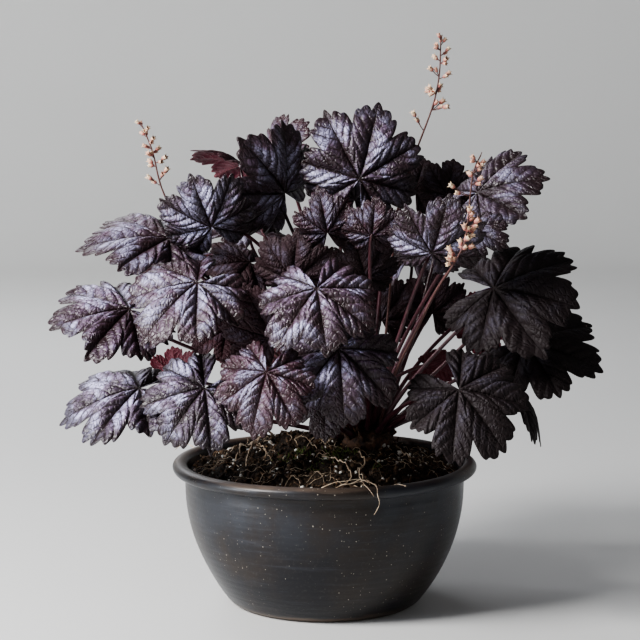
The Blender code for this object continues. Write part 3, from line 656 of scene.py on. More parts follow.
def makeLeaf(row, phase, number, look):
    name, joint, tip, facing, silverAndShade, warmth, crumple = row
    rng = np.random.default_rng(look["leafSeed"] + number)
    near = np.linalg.norm(np.subtract(tip, joint)) > look["smallest"]
    behind = abs(facing[0]) > 90
    rings, columns = look["grades"]["back" if behind else "main" if near else "small"]
    along, normal, *rest = leafAxes(joint, tip, facing, leafShape)
    angle, outline = leafOutline(columns, leafShape, rng)
    margin = (look["firstRing"] + (1 - look["firstRing"]) * np.linspace(0, 1, rings) ** 0.85)[:, None]
    reach = margin * outline
    lift = bladeLift(reach, angle, margin, leafShape, phase, crumple)
    middle = bladePoints(joint, (along, normal, *rest), lift, reach, angle, leafShape)
    normals = unit(np.cross(np.gradient(middle, axis=0), np.gradient(middle, axis=1)))
    if (normals.mean(axis=(0, 1)) @ normal) < 0:
        normals = -normals
    # the last point of each sheet is the joint, where the blade's rings begin
    middle = np.vstack((middle.reshape(-1, 3), joint))
    half = np.vstack((normals.reshape(-1, 3), normal)) * leafShape["blade"] / 2
    sheet, fan, wall = bladeFaces(rings, len(angle))
    below = len(middle)
    blade = (np.vstack((middle + half, middle - half)), np.vstack((sheet, sheet[:, ::-1] + below, wall)),
             np.vstack((fan, fan[:, ::-1] + below)))
    stalk = stalkSurface("leaf_" + name, joint + along * leafShape["jointInset"], look)
    points, quads, tris = joinParts((blade, stalk))
    # 0 is the upper face and the wall, 1 the underside and 2 the stalk
    runs = (sheet, sheet, wall, stalk[1], fan, fan, stalk[2])
    faceFinish = np.repeat((0, 1, 0, 2, 0, 1, 2), [len(run) for run in runs])

    # painted light: the silver is kept on flanks that face the key light, a painted highlight, and cut on
    # flanks turned away from it, painted shade
    flat = np.zeros((len(points), 2))
    tone = np.zeros((len(points), 4))
    # the leaf's silver value, which on right-hand and inner leaves is partly painted shade
    tone[:2 * below, :3] = (silverAndShade, warmth, rng.uniform(0, 1))
    lit = normals.reshape(-1, 3) @ (unit(look["paintedLightSide"]) * (1, -1 if behind else 1, 1))
    sunny = np.clip(0.5 + (lit - (lit.mean() + look["paintedLightMiddle"]) / 2) / look["paintedLightSpan"], 0, 1)
    tone[:below - 1, 0] *= look["paintedLightLeast"] + (1 - look["paintedLightLeast"]) * sunny
    for first in (0, below):
        places = slice(first, first + below - 1)
        flat[places] = np.stack((reach * np.cos(angle), reach * np.sin(angle)), -1).reshape(-1, 2)
        tone[places, 3] = np.repeat(margin, len(angle))
    finishes = (upperFinish if silverAndShade > look["plain"] else shadeFinish, underFinish, stalkFinish)
    made = putMesh("fine_leaf_" + name, points * mm, quads, tris, finishes, faceFinish)
    paintUv(made, "flat", flat)
    paintTone(made, tone)
    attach(made, "root")
    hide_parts("leaf_" + name)
    return len(quads) * 2 + len(tris)


def makeLeaves(look):
    rng = np.random.default_rng(look["seed"])
    phases = rng.uniform(0, 2 * pi, len(leafRows))
    total = sum(makeLeaf(row, phases[number], number, look) for number, row in enumerate(leafRows))
    print("leaves:", len(leafRows), "with", total, "triangles")
    return rng


plantDraws = makeLeaves(leafMesh)


# Specks, which the pot and the soil share

def makeSpeckGroup():
    # a round speck in a chosen share of the cells of a pattern, and one value a cell
    tree, given, put = newGroup("specks", "Place", ("Scale", "Size", "Share"), ("Mask", "Tone"))
    cell = wires(addNode(tree, "TexVoronoi", Vector=given["Place"], Scale=given["Scale"]).outputs)
    chance, grade, tone = split(cell["Color"], "Color")
    size = given["Size"] * (grade * 0.9 + 0.4)
    dot = ramp(cell["Distance"], size * 0.6, size, 1.0, 0.0)
    feed(put, (dot * calc("LESS_THAN", chance, given["Share"]), tone))
    return tree


speckGroup = makeSpeckGroup()


# Pot: the wall's profile from the foot up, the rolled rim, and the hollow down to its floor

potLook = {"base": ((24, 0), (48, 0), (66, 0)),
           "outer": ((71.5, 0), (75.5, 2.5), (81, 9), (89, 21), (97.5, 37), (103.5, 52), (107.5, 67),
                     (109.7, 82), (110.2, 94), (110.2, 101), (110.6, 103.6)),
           "inner": ((108.1, 107.6), (107, 105), (104.8, 98), (104.2, 84), (101.4, 67), (96.4, 51), (89, 36),
                     (79, 22), (66, 12), (56, 10.6)), "floor": ((40, 10.2), (20, 10.0)),
           "rimMiddle": (114.2, 108.6), "rimHalf": (6.0, 4.8), "rimArc": (-118, 176), "sides": 192,
           "outerRows": 84, "rimRows": 26, "innerRows": 24, "ringStep": 5.2, "ringDepth": 0.05,
           "wobble": (0.22, 90, 5), "rise": (0.25, 120, 6), "drains": 3, "drainRadius": 5.0,
           "drainRing": 36.0, "drainReach": (-6, 20)}
potColours = {"glaze": ((0.009, 0.0092, 0.012), (0.022, 0.016, 0.013)), "rings": (0.050, 0.054, 0.068),
              "grain": (0.075, 0.070, 0.068), "paintedSheen": (0.040, 0.044, 0.054),
              "worn": (0.115, 0.083, 0.062), "specks": (0.50, 0.46, 0.38)}


def makePotFinish(colours):
    # rings and grain over a cloudy glaze, a painted sheen as a bluish lighter band below the rim, worn brown
    # at lip and foot, and pale specks
    finish, tree = newFinish("potGlaze", specular=0.30, coat=0.20, coatRoughness=0.32)
    place = objectPlace(tree)
    cloud = noise(place, 15.0, 5.0, 0.62)
    turned = noise(scaled(place, (1.0, 1.0, 13.0)), 24.0, 5.0, 0.66)
    fine = noise(place, 420.0, 3.0, 0.6)
    base = mix(ramp(cloud, 0.42, 0.66), *colours["glaze"])
    base = mix(ramp(turned, 0.52, 0.76, 0.0, 0.40), base, colours["rings"])
    base = mix(ramp(fine, 0.54, 0.74, 0.0, 0.22), base, colours["grain"])
    ragged = (turned - 0.5) * 0.010 + split(place, "XYZ")[2]
    # painted sheen: the glaze is made bluer and lighter from 50 to 88 mm up, where the light's sheen lies
    paintedSheen = ramp(ragged, 0.050, 0.088) * ramp(cloud, 0.62, 0.40)
    base = mix(paintedSheen * 0.5, base, colours["paintedSheen"])
    lip = ramp(ragged, 0.1100, 0.1132) * ramp(cloud, 0.36, 0.62, 0.15, 0.75)
    worn = calc("MAXIMUM", lip, ramp(ragged, 0.0022, 0.0060, 1.0, 0.0) * 0.9)
    dots = placeGroup(tree, speckGroup, Place=place, Scale=270.0, Size=0.14, Share=0.05)
    dust = placeGroup(tree, speckGroup, Place=place, Scale=560.0, Size=0.24, Share=0.13)
    mark = calc("MAXIMUM", dots["Mask"] * ramp(dots["Tone"], 0.2, 0.9, 0.3, 1.0),
                dust["Mask"] * ramp(cloud, 0.42, 0.58, 0.10, 1.0) * 0.8)
    colour = mix(mark, mix(worn, base, colours["worn"]), colours["specks"])
    rough = cloud * 0.30 + 0.14 + turned * 0.12 + worn * 0.18 + mark * 0.2
    return wireFinish(finish, colour, fine * 0.35 + turned + mark * 0.5, 0.35, 0.0007, rough)


def potProfile(look):
    # outside from the foot to the rim, the rim's oval arc, then the inside down to its floor
    low, high = np.radians(look["rimArc"])
    turn = np.linspace(low, high, look["rimRows"])
    rim = look["rimMiddle"] + np.column_stack((np.cos(turn), np.sin(turn))) * look["rimHalf"]
    return np.vstack((look["base"], smoothCurve(look["outer"], look["outerRows"]), rim,
                      smoothCurve(look["inner"], look["innerRows"]), look["floor"]))


def cutDrains(made, look):
    # holes through the pot's floor, cut by short upright tubes that are then taken away
    for number in range(look["drains"]):
        turn = 2 * pi * number / look["drains"]
        x, y = look["drainRing"] * cos(turn), look["drainRing"] * sin(turn)
        path = [(x, y, high) for high in look["drainReach"]]
        points, quads, tris = tubeSurface(path, (look["drainRadius"],) * 2, 40)
        cutter = putMesh("drainCutter", points * mm, quads, tris)
        cut = made.modifiers.new("drain", "BOOLEAN")
        cut.operation = "DIFFERENCE"
        cut.object = cutter
        cut.solver = "EXACT"
        solid = bpy.data.meshes.new_from_object(made.evaluated_get(bpy.context.evaluated_depsgraph_get()))
        made.modifiers.clear()
        made.data = solid
        bpy.data.objects.remove(cutter)


def makePot(look):
    # the profile turned, with faint throwing rings on the wall, a slow wobble and an uneven rim;
    # wobble and rise are (depth, size, seed)
    grid = turnedGrid(potProfile(look), look["sides"])
    turn = np.arctan2(grid[..., 1], grid[..., 0])
    high = grid[..., 2]
    row = np.arange(len(grid))[:, None]
    outside = row < len(look["base"]) + look["outerRows"]
    wall = np.clip((high - 6) / 12, 0, 1) * outside * np.clip((104 - high) / 6, 0, 1)
    wave = 2 * pi * high / look["ringStep"] + 1.5 * np.sin(high / 11) + 0.8 * np.sin(turn + 0.05 * high)
    depth, *pattern = look["wobble"]
    wobble = depth * np.clip(high / 20, 0, 1) * softNoise(grid, *pattern)
    swell = look["ringDepth"] * wall * np.sin(wave) + wobble
    grid[..., 0] += swell * np.cos(turn)
    grid[..., 1] += swell * np.sin(turn)
    depth, *pattern = look["rise"]
    grid[..., 2] += depth * np.clip((high - 90) / 15, 0, 1) * softNoise(grid, *pattern)
    points, quads, tris = closeGrid(grid, (0, 0, 0), (0, 0, 10))
    made = putMesh("fine_pot", points * mm, quads, tris, (makePotFinish(potColours),))
    cutDrains(made, look)
    made.data.shade_smooth()
    made.data.set_sharp_from_angle(angle=radians(50))
    dressPiece(made, "pot")
    print("pot is turned:", len(made.data.polygons), "faces")


makePot(potLook)


# Soil

soilLook = {"edge": 105.0, "mound": 20.0, "shift": 14.0, "radius": 106.0, "rim": 106.4, "rings": 104,
            "columns": 232, "lumps": ((17, 1.5, 31), (7.5, 0.9, 32), (3.6, 0.55, 33)),
            "heap": (-26, 26, 26, 6.0), "side": ((104.3, 96), (103.6, 84), (100.8, 67), (95.8, 51),
                                                 (88.4, 36), (78.4, 22.6), (65.5, 12.8), (30, 12))}
litterLook = {"seed": 41, "reach": 103.5, "crumbs": 1900, "crumbSize": (0.9, 2.4), "perlite": 210,
              "perliteSize": (1.1, 2.4), "bark": 190, "barkSize": (1.8, 4.0)}


def soilHeight(x, y):
    # edge + mound (1 - away^2), where away is measured from a middle that moves towards the crown
    reach = np.minimum(np.hypot(x, y) / soilLook["radius"], 1)
    away = np.hypot(x - soilLook["shift"] * (1 - reach), y) / soilLook["radius"]
    return soilLook["edge"] + soilLook["mound"] * np.maximum(1 - away ** 2, 0)


def soilTop(x, y):
    # the mound and a low heap left of the crown, with three sizes of lumps that die away beside the wall
    flat = np.stack((x, y, np.zeros_like(x)), -1)
    lumps = sum(depth * softNoise(flat, size, seed) for size, depth, seed in soilLook["lumps"])
    fade = np.clip((107 - np.hypot(x, y)) / 7, 0.15, 1)
    hx, hy, spread, tall = soilLook["heap"]
    heap = tall * np.exp(-((x - hx) ** 2 + (y - hy) ** 2) / (2 * spread ** 2))
    return soilHeight(x, y) + heap + lumps * fade


def topAt(x, y):
    # the soil's height at one place
    return soilTop(np.array((x,), float), np.array((y,), float))[0]


def makeSoilFinish(name, dark, brown, pale):
    # grains of two tones, pale specks and damp patches
    finish, tree = newFinish(name, specular=0.25)
    place = objectPlace(tree)
    grain = noise(place, 520.0, 5.0, 0.7)
    cells = placeGroup(tree, speckGroup, Place=place, Scale=430.0, Size=0.45, Share=0.35)
    colour = mix(ramp(grain, 0.38, 0.66), dark, brown)
    colour = mix(cells["Mask"] * ramp(cells["Tone"], 0.3, 1.0, 0.0, 0.8), colour, pale)
    colour = mix(ramp(noise(place, 45.0, 4.0, 0.6), 0.42, 0.62, 0.0, 0.6), colour, dark)
    return wireFinish(finish, colour, cells["Mask"] * 0.4 + grain, 0.9, 0.0022, grain * 0.35 + 0.62)


def makeGrainFinish(name, low, high, size, rough):
    # a plain two-tone grain for bits that lie on the soil
    finish, tree = newFinish(name, specular=0.35)
    grain = noise(objectPlace(tree), size, 4.0, 0.65)
    colour = mix(ramp(grain, 0.34, 0.66), low, high)
    return wireFinish(finish, colour, grain, 0.7, 0.0008, grain * 0.3 + (rough - 0.15))


def makeSoil(look):
    # rings spread from the middle to the wall, then follow the pot's hollow down to its floor
    radius = np.concatenate((np.linspace(0.9, look["rim"], look["rings"]), [r for r, _ in look["side"]]))
    grid = turnedGrid(np.column_stack((radius, np.zeros(len(radius)))), look["columns"])
    grid[..., 2] = soilTop(grid[..., 0], grid[..., 1])
    grid[look["rings"]:, :, 2] = np.array([z for _, z in look["side"]])[:, None]
    surface = closeGrid(grid[::-1], (0, 0, look["side"][-1][1]), (0, 0, topAt(0, 0)))
    makePiece("fine_soil", surface, soilFinish, "soil")
    print("soil is laid:", len(surface[1]), "quads")


soilFinish = makeSoilFinish("peat", (0.009, 0.0065, 0.005), (0.066, 0.041, 0.024), (0.19, 0.13, 0.078))
makeSoil(soilLook)


# Loose bits on the soil

def lumpShape():
    ball = bmesh.new()
    bmesh.ops.create_icosphere(ball, subdivisions=1, radius=1.0)
    points = np.array([v.co[:] for v in ball.verts])
    tris = np.array([[v.index for v in f.verts] for f in ball.faces])
    ball.free()
    return points, tris


def lumpField(places, sizes, squash, rng):
    # each place gets a twelve-cornered lump with strayed corners, stretched by squash and turned at random
    base, tris = lumpShape()
    count = len(places)
    strayed = base[None] * (1 + rng.uniform(-0.28, 0.28, (count, len(base), 1)))
    strayed = strayed * sizes[:, None, None] * np.asarray(squash) * rng.uniform(0.7, 1.3, (count, 1, 3))
    first = unit(rng.normal(size=(count, 3)))
    second = unit(np.cross(first, rng.normal(size=(count, 3))))
    frames = np.stack((first, second, np.cross(first, second)), 1)
    points = places[:, None] + np.einsum("nki,nij->nkj", strayed, frames)
    faces = tris[None] + (np.arange(count) * len(base))[:, None, None]
    return points.reshape(-1, 3), np.zeros((0, 4), int), faces.reshape(-1, 3)


def soilPlaces(count, rng, lift, reach):
    # even draws over the disc, set on the soil
    radius = reach * np.sqrt(rng.uniform(0, 1, count))
    turn = rng.uniform(0, 2 * pi, count)
    x = radius * np.cos(turn)
    y = radius * np.sin(turn)
    return np.column_stack((x, y, soilTop(x, y) + lift))


def makeLoose(name, places, sizes, squash, rng, finish, smooth=False):
    makePiece(name, lumpField(places, sizes, squash, rng), finish, None, smooth)
    print(name, len(places), "pieces")


def makeLitter(look):
    rng = np.random.default_rng(look["seed"])
    reach = look["reach"]
    drawn = rng.uniform(*look["crumbSize"], look["crumbs"]) * rng.choice((0.8, 1.0, 1.35), look["crumbs"])
    places = soilPlaces(look["crumbs"], rng, 0.1, reach)
    makeLoose("soil_crumbs", places, drawn, (1, 0.85, 0.7), rng, crumbFinish)
    drawn = rng.uniform(*look["barkSize"], look["bark"])
    places = soilPlaces(look["bark"], rng, 0.5, reach)
    makeLoose("soil_bark", places, drawn, (1.2, 0.6, 0.25), rng, barkFinish)
    places = soilPlaces(look["perlite"], rng, 0.7, reach)
    drawn = rng.uniform(*look["perliteSize"], look["perlite"]) * rng.choice((0.55, 0.8, 1.0), look["perlite"])
    makeLoose("soil_perlite", places, drawn, (1, 0.9, 0.8), rng, perliteFinish, smooth=True)


crumbFinish = makeSoilFinish("crumb", (0.016, 0.011, 0.008), (0.155, 0.092, 0.052), (0.34, 0.235, 0.14))
barkFinish = makeGrainFinish("barkChip", (0.035, 0.018, 0.010), (0.13, 0.075, 0.04), 300.0, 0.85)
perliteFinish = makeGrainFinish("perlite", (0.62, 0.59, 0.52), (0.86, 0.84, 0.79), 900.0, 0.75)
makeLitter(litterLook)


# Roots: (x, y, height above the soil) along each; those marked true give heights above the pot's foot

rootRows = (
    ("lying", 1.05, ((-42, 40, 4), (-55, 34, 3), (-64, 24, 1.6), (-68, -4, 1.8), (-72, -30, 0.2))),
    ("lying", 1.10, ((-36, 66, 1), (-45, 57, 2.6), (-54, 30, 2.8), (-59, -6, 2.0), (-61, -30, 1.4),
                     (-60, -50, 0.1))),
    ("lying", 0.70, ((-60, 20, 1), (-50, 0, 2.6), (-46, -22, 1.4), (-50, -36, 0.2))),
    ("lying", 0.70, ((-66, 30, 1.2), (-76, 14, 2.2), (-80, -8, 0.9), (-90, -18, 0.3))),
    ("lying", 0.70, ((49, 40, 1.0), (58, 4, 2.4), (66, -32, 1.0), (69, -44, -0.5))),
    ("lying", 0.75, ((44, 8, 2.0), (36, 2, 3.2), (28, -6, 2.2), (16, -12, 0.6))),
    ("lying", 0.45, ((-4, 20, 1.5), (-1, -6, 2.4), (4, -20, 1.2), (12, -24, 0.3))),
    ("lying", 0.70, ((-2, -38, 1.2), (12, -56, 2.4), (20, -78, 1.4), (14, -92, 0.3))),
    ("lying", 0.60, ((26, -30, 2.0), (30, -52, 2.8), (26, -74, 1.2), (34, -92, 0.6))),
    ("lying", 0.45, ((-30, -30, 1.0), (-40, -58, 1.8), (-52, -78, 0.4))),
    ("lying", 0.45, ((-14, -70, 0.8), (-30, -86, 1.6), (-34, -97, 0.6))),
    ("true", 0.50, ((8, -97, 110), (13, -101, 113.4), (20, -102, 114.6), (27, -104, 117.6), (33, -109, 117.0),
                    (38, -115.5, 115.2), (39, -120.8, 110), (40, -121.8, 104), (38.6, -121.2, 99.5),
                    (36.2, -120.4, 95))),
    ("true", 0.45, ((20, -100, 114), (27, -104, 116.6), (30, -112, 115.2), (34.5, -120.6, 111.2),
                    (36, -121, 109))),
    ("true", 0.45, ((-4, -96, 109), (6, -100, 114.6), (18, -103, 117.4), (26, -105, 118.6))),
    ("true", 0.45, ((50, -94, 110), (54, -102, 114.6), (58, -106, 114.4), (60, -108, 113.8))),
    ("true", 0.50, ((-100, 38, 107.6), (-106, 46, 112.5), (-113, 54, 114.6), (-119, 58, 112),
                    (-123, 60, 108.5))),
)
rootLook = {"seed": 53, "fine": 130, "fineRadius": (0.18, 0.40), "length": (14, 44), "rings": 22, "sides": 5,
            "reach": 92, "edge": 103, "wander": (0.55, 0.55, 0.25)}


def layRoot(path, radius, rng):
    # a wandering tube, thick at its start and thin at its end
    wander = np.column_stack([softNoise(path, 14, int(rng.integers(1 << 30)), 4) for _ in range(3)])
    share = np.linspace(0, 1, len(path))
    path = path + wander * rootLook["wander"] * np.sin(pi * share)[:, None]
    radii = radius * (1 - 0.6 * share) * (1 + 0.12 * np.sin(37 * share + 9 * radius))
    return tubeSurface(path, radii, rootLook["sides"])


def fineRoot(look, rng):
    # it starts on the mound, runs off with a slowly turning heading, and rises a little in its middle
    start = soilPlaces(1, rng, 0, look["reach"])[0]
    pace = rng.uniform(*look["length"]) / look["rings"]
    share = np.linspace(0, 1, look["rings"])
    heading = rng.uniform(0, 2 * pi) + rng.uniform(-1.6, 1.6) * share
    heading += 0.5 * np.sin(7 * share + rng.uniform(0, 6))
    x = start[0] + np.cumsum(np.cos(heading)) * pace
    y = start[1] + np.cumsum(np.sin(heading)) * pace
    over = np.maximum(np.hypot(x, y) / look["edge"], 1)
    x, y = x / over, y / over
    z = soilTop(x, y) + 0.3 - 0.8 * (np.abs(share - 0.5) > 0.47) + rng.uniform(0.4, 2.6) * np.sin(pi * share)
    return layRoot(np.column_stack((x, y, z)), rng.uniform(*look["fineRadius"]), rng)


def makeRoots(rows, look):
    rng = np.random.default_rng(look["seed"])
    parts = []
    for kind, radius, points in rows:
        path = smoothCurve(points, 2 * look["rings"])
        if kind == "lying":
            path[:, 2] += soilTop(path[:, 0], path[:, 1])
        parts.append(layRoot(path, radius, rng))
    parts += [fineRoot(look, rng) for _ in range(look["fine"])]
    makePiece("soil_roots", joinParts(parts), rootFinish, None)
    print("roots:", len(parts))


rootFinish = makeGrainFinish("root", (0.30, 0.205, 0.13), (0.70, 0.57, 0.42), 160.0, 0.7)
makeRoots(rootRows, rootLook)


# Moss: five tufts (x, y, spread, sprigs) on the mound, each a spray of short pointed sprigs

mossLook = {"tufts": ((-20, -34, 15, 110), (6, -40, 13, 90), (16, -30, 10, 60), (-8, -62, 9, 40),
                      (42, -60, 8, 30)), "seed": 67, "height": (1.4, 4.2), "radius": 0.42}


def makeMoss(look):
    rng = np.random.default_rng(look["seed"])
    parts = []
    for x, y, spread, count in look["tufts"]:
        for _ in range(count):
            px, py = np.array((x, y)) + rng.normal(size=2) * spread * (0.5, 0.4)
            lean = rng.normal(size=3) * (0.55, 0.55, 0)
            tall = rng.uniform(*look["height"])
            base = np.array((px, py, topAt(px, py) - 0.4))
            tip = base + unit(lean + (0, 0, 1)) * tall
            path = np.array((base, (base + tip) / 2 + rng.normal(size=3) * 0.2, tip))
            parts.append(tubeSurface(path, look["radius"] * np.array((0.7, 1.0, 0.25)), 4))
    makePiece("soil_moss", joinParts(parts), mossFinish, None)
    print("moss sprigs:", len(parts))


mossFinish = makeGrainFinish("moss", (0.020, 0.042, 0.008), (0.13, 0.17, 0.03), 380.0, 0.7)
makeMoss(mossLook)


# Crown: the dome of old wood with the stubs of last year's stalks round it

crownLook = {"rings": 54, "wallRings": 15, "columns": 96, "stubs": 64, "stubLength": (3.0, 8.5),
             "stubRadius": (1.0, 2.1), "sunk": 103, "bark": ((0.75, 7, 71), (0.45, 3.2, 72)), "seed": 73}


def makeCrown(look):
    # an upright wall below a half oval, with ridges of bark; bark is rows of (depth, size, seed)
    middle = np.array(crownShape["middle"])
    wide, _, tall = crownShape["radii"]
    low = look["wallRings"]
    foot = np.linspace(look["sunk"], middle[2], low + 1)[:-1]
    turn = np.linspace(0, pi / 2, look["rings"] - low)[:-1]
    radius = np.concatenate((np.full(low, wide), wide * np.cos(turn)))
    high = np.concatenate((foot, middle[2] + tall * np.sin(turn)))
    grid = turnedGrid(np.column_stack((radius, high)), look["columns"])
    (coarse, *long), (fine, *short) = look["bark"]
    bark = coarse * softNoise(grid * (1, 1, 0.45), *long) + fine * softNoise(grid, *short) - 0.7
    grid[..., :2] *= 1 + (bark / wide)[..., None]
    grid[..., :2] += middle[:2]
    parts = [closeGrid(grid, (*middle[:2], look["sunk"]), middle + (0, 0, tall - 0.6))]
    rng = np.random.default_rng(look["seed"])
    for number in range(look["stubs"]):
        around = 2.4 * number + rng.uniform(-0.3, 0.3)
        rise = rng.uniform(0.0, 1.25)
        out = np.array((cos(around) * cos(rise), sin(around) * cos(rise), sin(rise)))
        base = middle + out * crownShape["radii"] - (0, 0, rng.uniform(0, 14) * (rise < 0.3))
        way = unit(out + (0, 0, 0.5) + rng.normal(size=3) * 0.25)
        path = base + np.outer(np.linspace(-1.2, rng.uniform(*look["stubLength"]), 6), way)
        radii = rng.uniform(*look["stubRadius"]) * np.array((1.2, 1.1, 0.95, 0.85, 0.7, 0.45))
        parts.append(tubeSurface(path, radii, 9, ripple=0.16))
    makePiece("fine_crown", joinParts(parts), crownFinish, "crown")
    print("crown with", look["stubs"], "stubs")


crownFinish = makeGrainFinish("oldWood", (0.016, 0.009, 0.007), (0.105, 0.055, 0.032), 240.0, 0.85)
makeCrown(crownLook)


# Flower sprays: points the stem passes through, florets as (height on the stem, reach from there), and
# stretches of stem with a crowd of florets as (low, high, count)

sprayRows = (
    ("tall", ((46, 6, 185), (51, 8, 240), (57, 5, 309), (70, 5, 352), (84, 5, 391), (89, 5, 416),
              (90, 5, 444)),
     ((372, (-9, -3, 15)), (388, (10, 2, 8)), (388, (13, -4, 3)), (400, (-6, -4, 6)), (402, (-8, 3, 1)),
      (404, (3, 6, 3)), (412, (9, 3, 5)), (414, (-8, -2, 7)), (424, (5, -5, 4)), (426, (-5, 4, 4)),
      (430, (7, 2, 6)), (434, (-4, -4, 5)), (438, (4, 3, 5)), (441, (-2, 0, 6))), ()),
    ("left", ((-19, 10, 178), (-71, 22, 225), (-107, 30, 280), (-128, 28, 323), (-136, 26, 355),
              (-145, 25, 378)),
     ((328, (-11, 3, 7)), (332, (7, -3, 10)), (343, (-6, 3, 5)), (346, (9, -4, 5)), (350, (-5, -4, 4)),
      (354, (5, 4, 4)), (357, (-7, 0, 3)), (362, (4, -4, 4)), (366, (-5, 3, 4)), (370, (3, -4, 4)),
      (374, (-5, 0, 5))), ()),
    ("right", ((54, -30, 185), (70, -65, 226), (82, -100, 259), (95, -118, 283), (102, -122, 302),
               (106, -122, 343), (113, -118, 361)),
     ((280, (-4, -4, 5)), (284, (-6, 4, 8)), (330, (-15, -2, 8))), ((288, 318, 8), (338, 358, 5))),
)
sprayLook = {"stemRadius": (1.15, 0.5), "stemRings": 90, "stemSides": 10, "bell": 4.9, "bellSides": 10,
             "pedicel": 0.34, "clusterReach": 13, "bud": 0.72, "budStretch": 40, "sparseAbove": 285,
             "seed": 11}
bellRows = np.array((
    # length of the neck and of the bell before each ring, radius as parts of the pedicel and of the bell,
    # how far the five points of the mouth show, and the share of the way from stalk to mouth
    (0, 0, 1.2, 0, 0, 0), (0.33, 0, 1, 0, 0, 0), (0.7, 0, 1, 0, 0, 0), (1, 0, 1.2, 0, 0, 0.05),
    (1, 0.55, 0, 1.15, 0, 0.3), (1, 1.5, 0, 1.75, 0.12, 0.45), (1, 2.9, 0, 1.85, 0.2, 0.65),
    (1, 4.1, 0, 1.7, 0.5, 0.85), (1, 5.2, 0, 2.35, 1, 1), (1, 4.3, 0, 1.35, 0.5, 0.8),
    (1, 2.6, 0, 0.9, 0, 0.3)))
sprayColours = {"stalk": ((0.045, 0.016, 0.016), (0.135, 0.055, 0.045)), "base": (0.38, 0.13, 0.11),
                "petal": ((0.68, 0.54, 0.36), (0.56, 0.30, 0.22))}


def makeSprayFinish(colours):
    # tone holds the share of the way from stalk to mouth, and each bell's own warmth
    finish, tree = newFinish("floret", roughness=0.55, specular=0.35, sheen=0.15)
    along, warmth, _ = split(pointTone(tree)[0], "Color")
    grain = noise(objectPlace(tree), 700.0, 3.0, 0.6)
    base = mix(ramp(along, 0.02, 0.34), mix(grain, *colours["stalk"]), colours["base"])
    colour = mix(ramp(grain * 0.16 + along, 0.42, 0.92), base, mix(warmth, *colours["petal"]))
    return wireFinish(finish, colour, grain, 0.4, 0.0004)


def bellSurface(root, away, size, rng, look):
    # A thin stalk swells into a five-sided cup with a flared, five-pointed mouth and a hollow inside.
    # The mouth's points reach out and lean forward by the wave cos 5 turn.
    length = np.linalg.norm(away)
    along = away / length
    side = unit(np.cross(along, askew))
    neck = length - look["bell"] * size
    necks, bells, thin, wide, flare, share = bellRows.T
    marks = necks * neck + bells * size
    marks[0] = -0.3
    turn = 2 * pi * np.arange(look["bellSides"]) / look["bellSides"] + rng.uniform(0, 6)
    wave = flare[:, None] * np.cos(5 * (turn - turn[0]))
    reach = (thin * look["pedicel"] + wide * size)[:, None] * (1 + 0.26 * wave)
    place = marks[:, None] + 0.55 * size * wave
    sag = 0.08 * neck * np.sin(pi * np.clip(marks / max(neck, 1), 0, 1))
    grid = root + place[..., None] * along + reach[..., None] * spokes(turn, side, np.cross(along, side))
    grid[..., 2] -= sag[:, None]
    bell = closeGrid(grid, root, root + along * (neck + 2.2 * size))
    tone = np.zeros((len(bell[0]), 4))
    tone[:, 0] = (*np.repeat(share, len(turn)), 0, 0.2)
    tone[:, 1] = rng.uniform(0, 1)
    return bell, tone


def crowdFlorets(rng, low, high, count):
    # florets round a stretch of stem at even turns, with seeded reaches
    reach = sprayLook["clusterReach"]
    return [(low + (high - low) * k / count,
             (reach * (0.25 + 0.6 * rng.uniform(0.5, 1.0) * cos(2.4 * k)),
              0.6 * reach * rng.uniform(0.5, 1.0) * sin(2.4 * k), reach * rng.uniform(0.3, 0.6)))
            for k in range(count)]


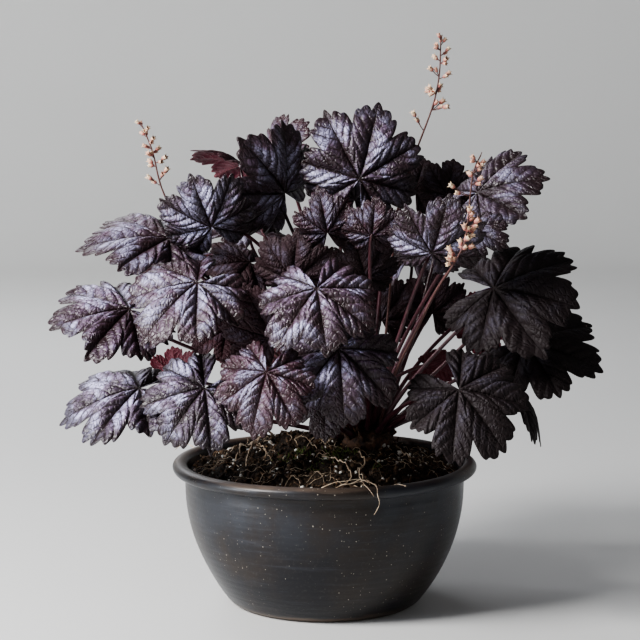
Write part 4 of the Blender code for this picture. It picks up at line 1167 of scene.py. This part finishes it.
def makeSpray(row, draws, finish, look):
    name, route, florets, crowds = row
    florets = list(florets) + [one for crowd in crowds for one in crowdFlorets(draws, *crowd)]
    seat, lead = stalkRings("spray_" + name, 2)
    stem = np.vstack((seat, smoothCurve((lead, *route), look["stemRings"], even=True)))
    share = np.linspace(0, 1, len(stem))
    radii = np.interp(share, (0, 1), look["stemRadius"]) * (1 + 0.06 * np.sin(90 * share))
    radii[-2:] *= 0.6
    parts = [tubeSurface(stem, radii, look["stemSides"])]
    tones = [np.zeros((len(parts[0][0]), 4))]
    rng = np.random.default_rng(len(name) * look["seed"])
    for height, reach in florets:
        root = np.array([np.interp(height, stem[:, 2], stem[:, axis]) for axis in range(3)])
        young = look["bud"] + (1 - look["bud"]) * min((stem[-1, 2] - height) / look["budStretch"], 1)
        reach = np.array(reach, float)
        pair = unit(np.cross(reach, rng.normal(size=3)))
        cluster = ((reach, 1.0), (0.62 * reach + 3.0 * pair, 0.86),
                   (0.78 * reach - 2.6 * pair + (0, 0, -2.2), 0.74))
        for away, size in cluster[:2 if height > look["sparseAbove"] else 3]:
            bell, tone = bellSurface(root, away, young * size, rng, look)
            parts.append(bell)
            tones.append(tone)
    made = makePiece("fine_spray_" + name, joinParts(parts), finish, "spray_" + name)
    paintTone(made, np.vstack(tones))
    print("spray", name, "with", len(parts) - 1, "bells")


sprayFinish = makeSprayFinish(sprayColours)
for sprayRow in sprayRows:
    makeSpray(sprayRow, plantDraws, sprayFinish, sprayLook)


# Stage: a flat floor that sweeps up into a low round wall

stageLook = {"flat": 2.6, "bend": 0.8, "wall": 1.5, "colours": ((0.66, 0.66, 0.65), (0.627, 0.627, 0.6175)),
             "roughness": 0.75, "sides": 160, "floorRings": 14, "bendRings": 23}


def makeStage(look):
    # rings of the floor, a quarter round, and the wall, turned about the pot's axis
    turn = np.linspace(0, pi / 2, look["bendRings"] + 1)[1:]
    flat = np.linspace(0.2, look["flat"], look["floorRings"])
    bend = np.column_stack((look["flat"] + look["bend"] * np.sin(turn), look["bend"] * (1 - np.cos(turn))))
    profile = np.vstack((np.column_stack((flat, np.zeros(len(flat)))), bend,
                         (look["flat"] + look["bend"], look["wall"])))
    grid = turnedGrid(profile, look["sides"])
    rows, sides = grid.shape[:2]
    points = np.vstack((grid.reshape(-1, 3), (0, 0, 0)))
    quads = gridQuads(rows, sides, closed=True)[:, ::-1]
    finish, tree = newFinish("stage", roughness=look["roughness"], specular=0.3)
    colour = mix(noise(objectPlace(tree), 2.2), *look["colours"])
    feed(tree.nodes["Principled BSDF"].inputs, {"Base Color": colour})
    putMesh("stage", points, quads, fanTris(rows * sides, np.arange(sides)), (finish,))


makeStage(stageLook)
bpy.context.view_layer.update()
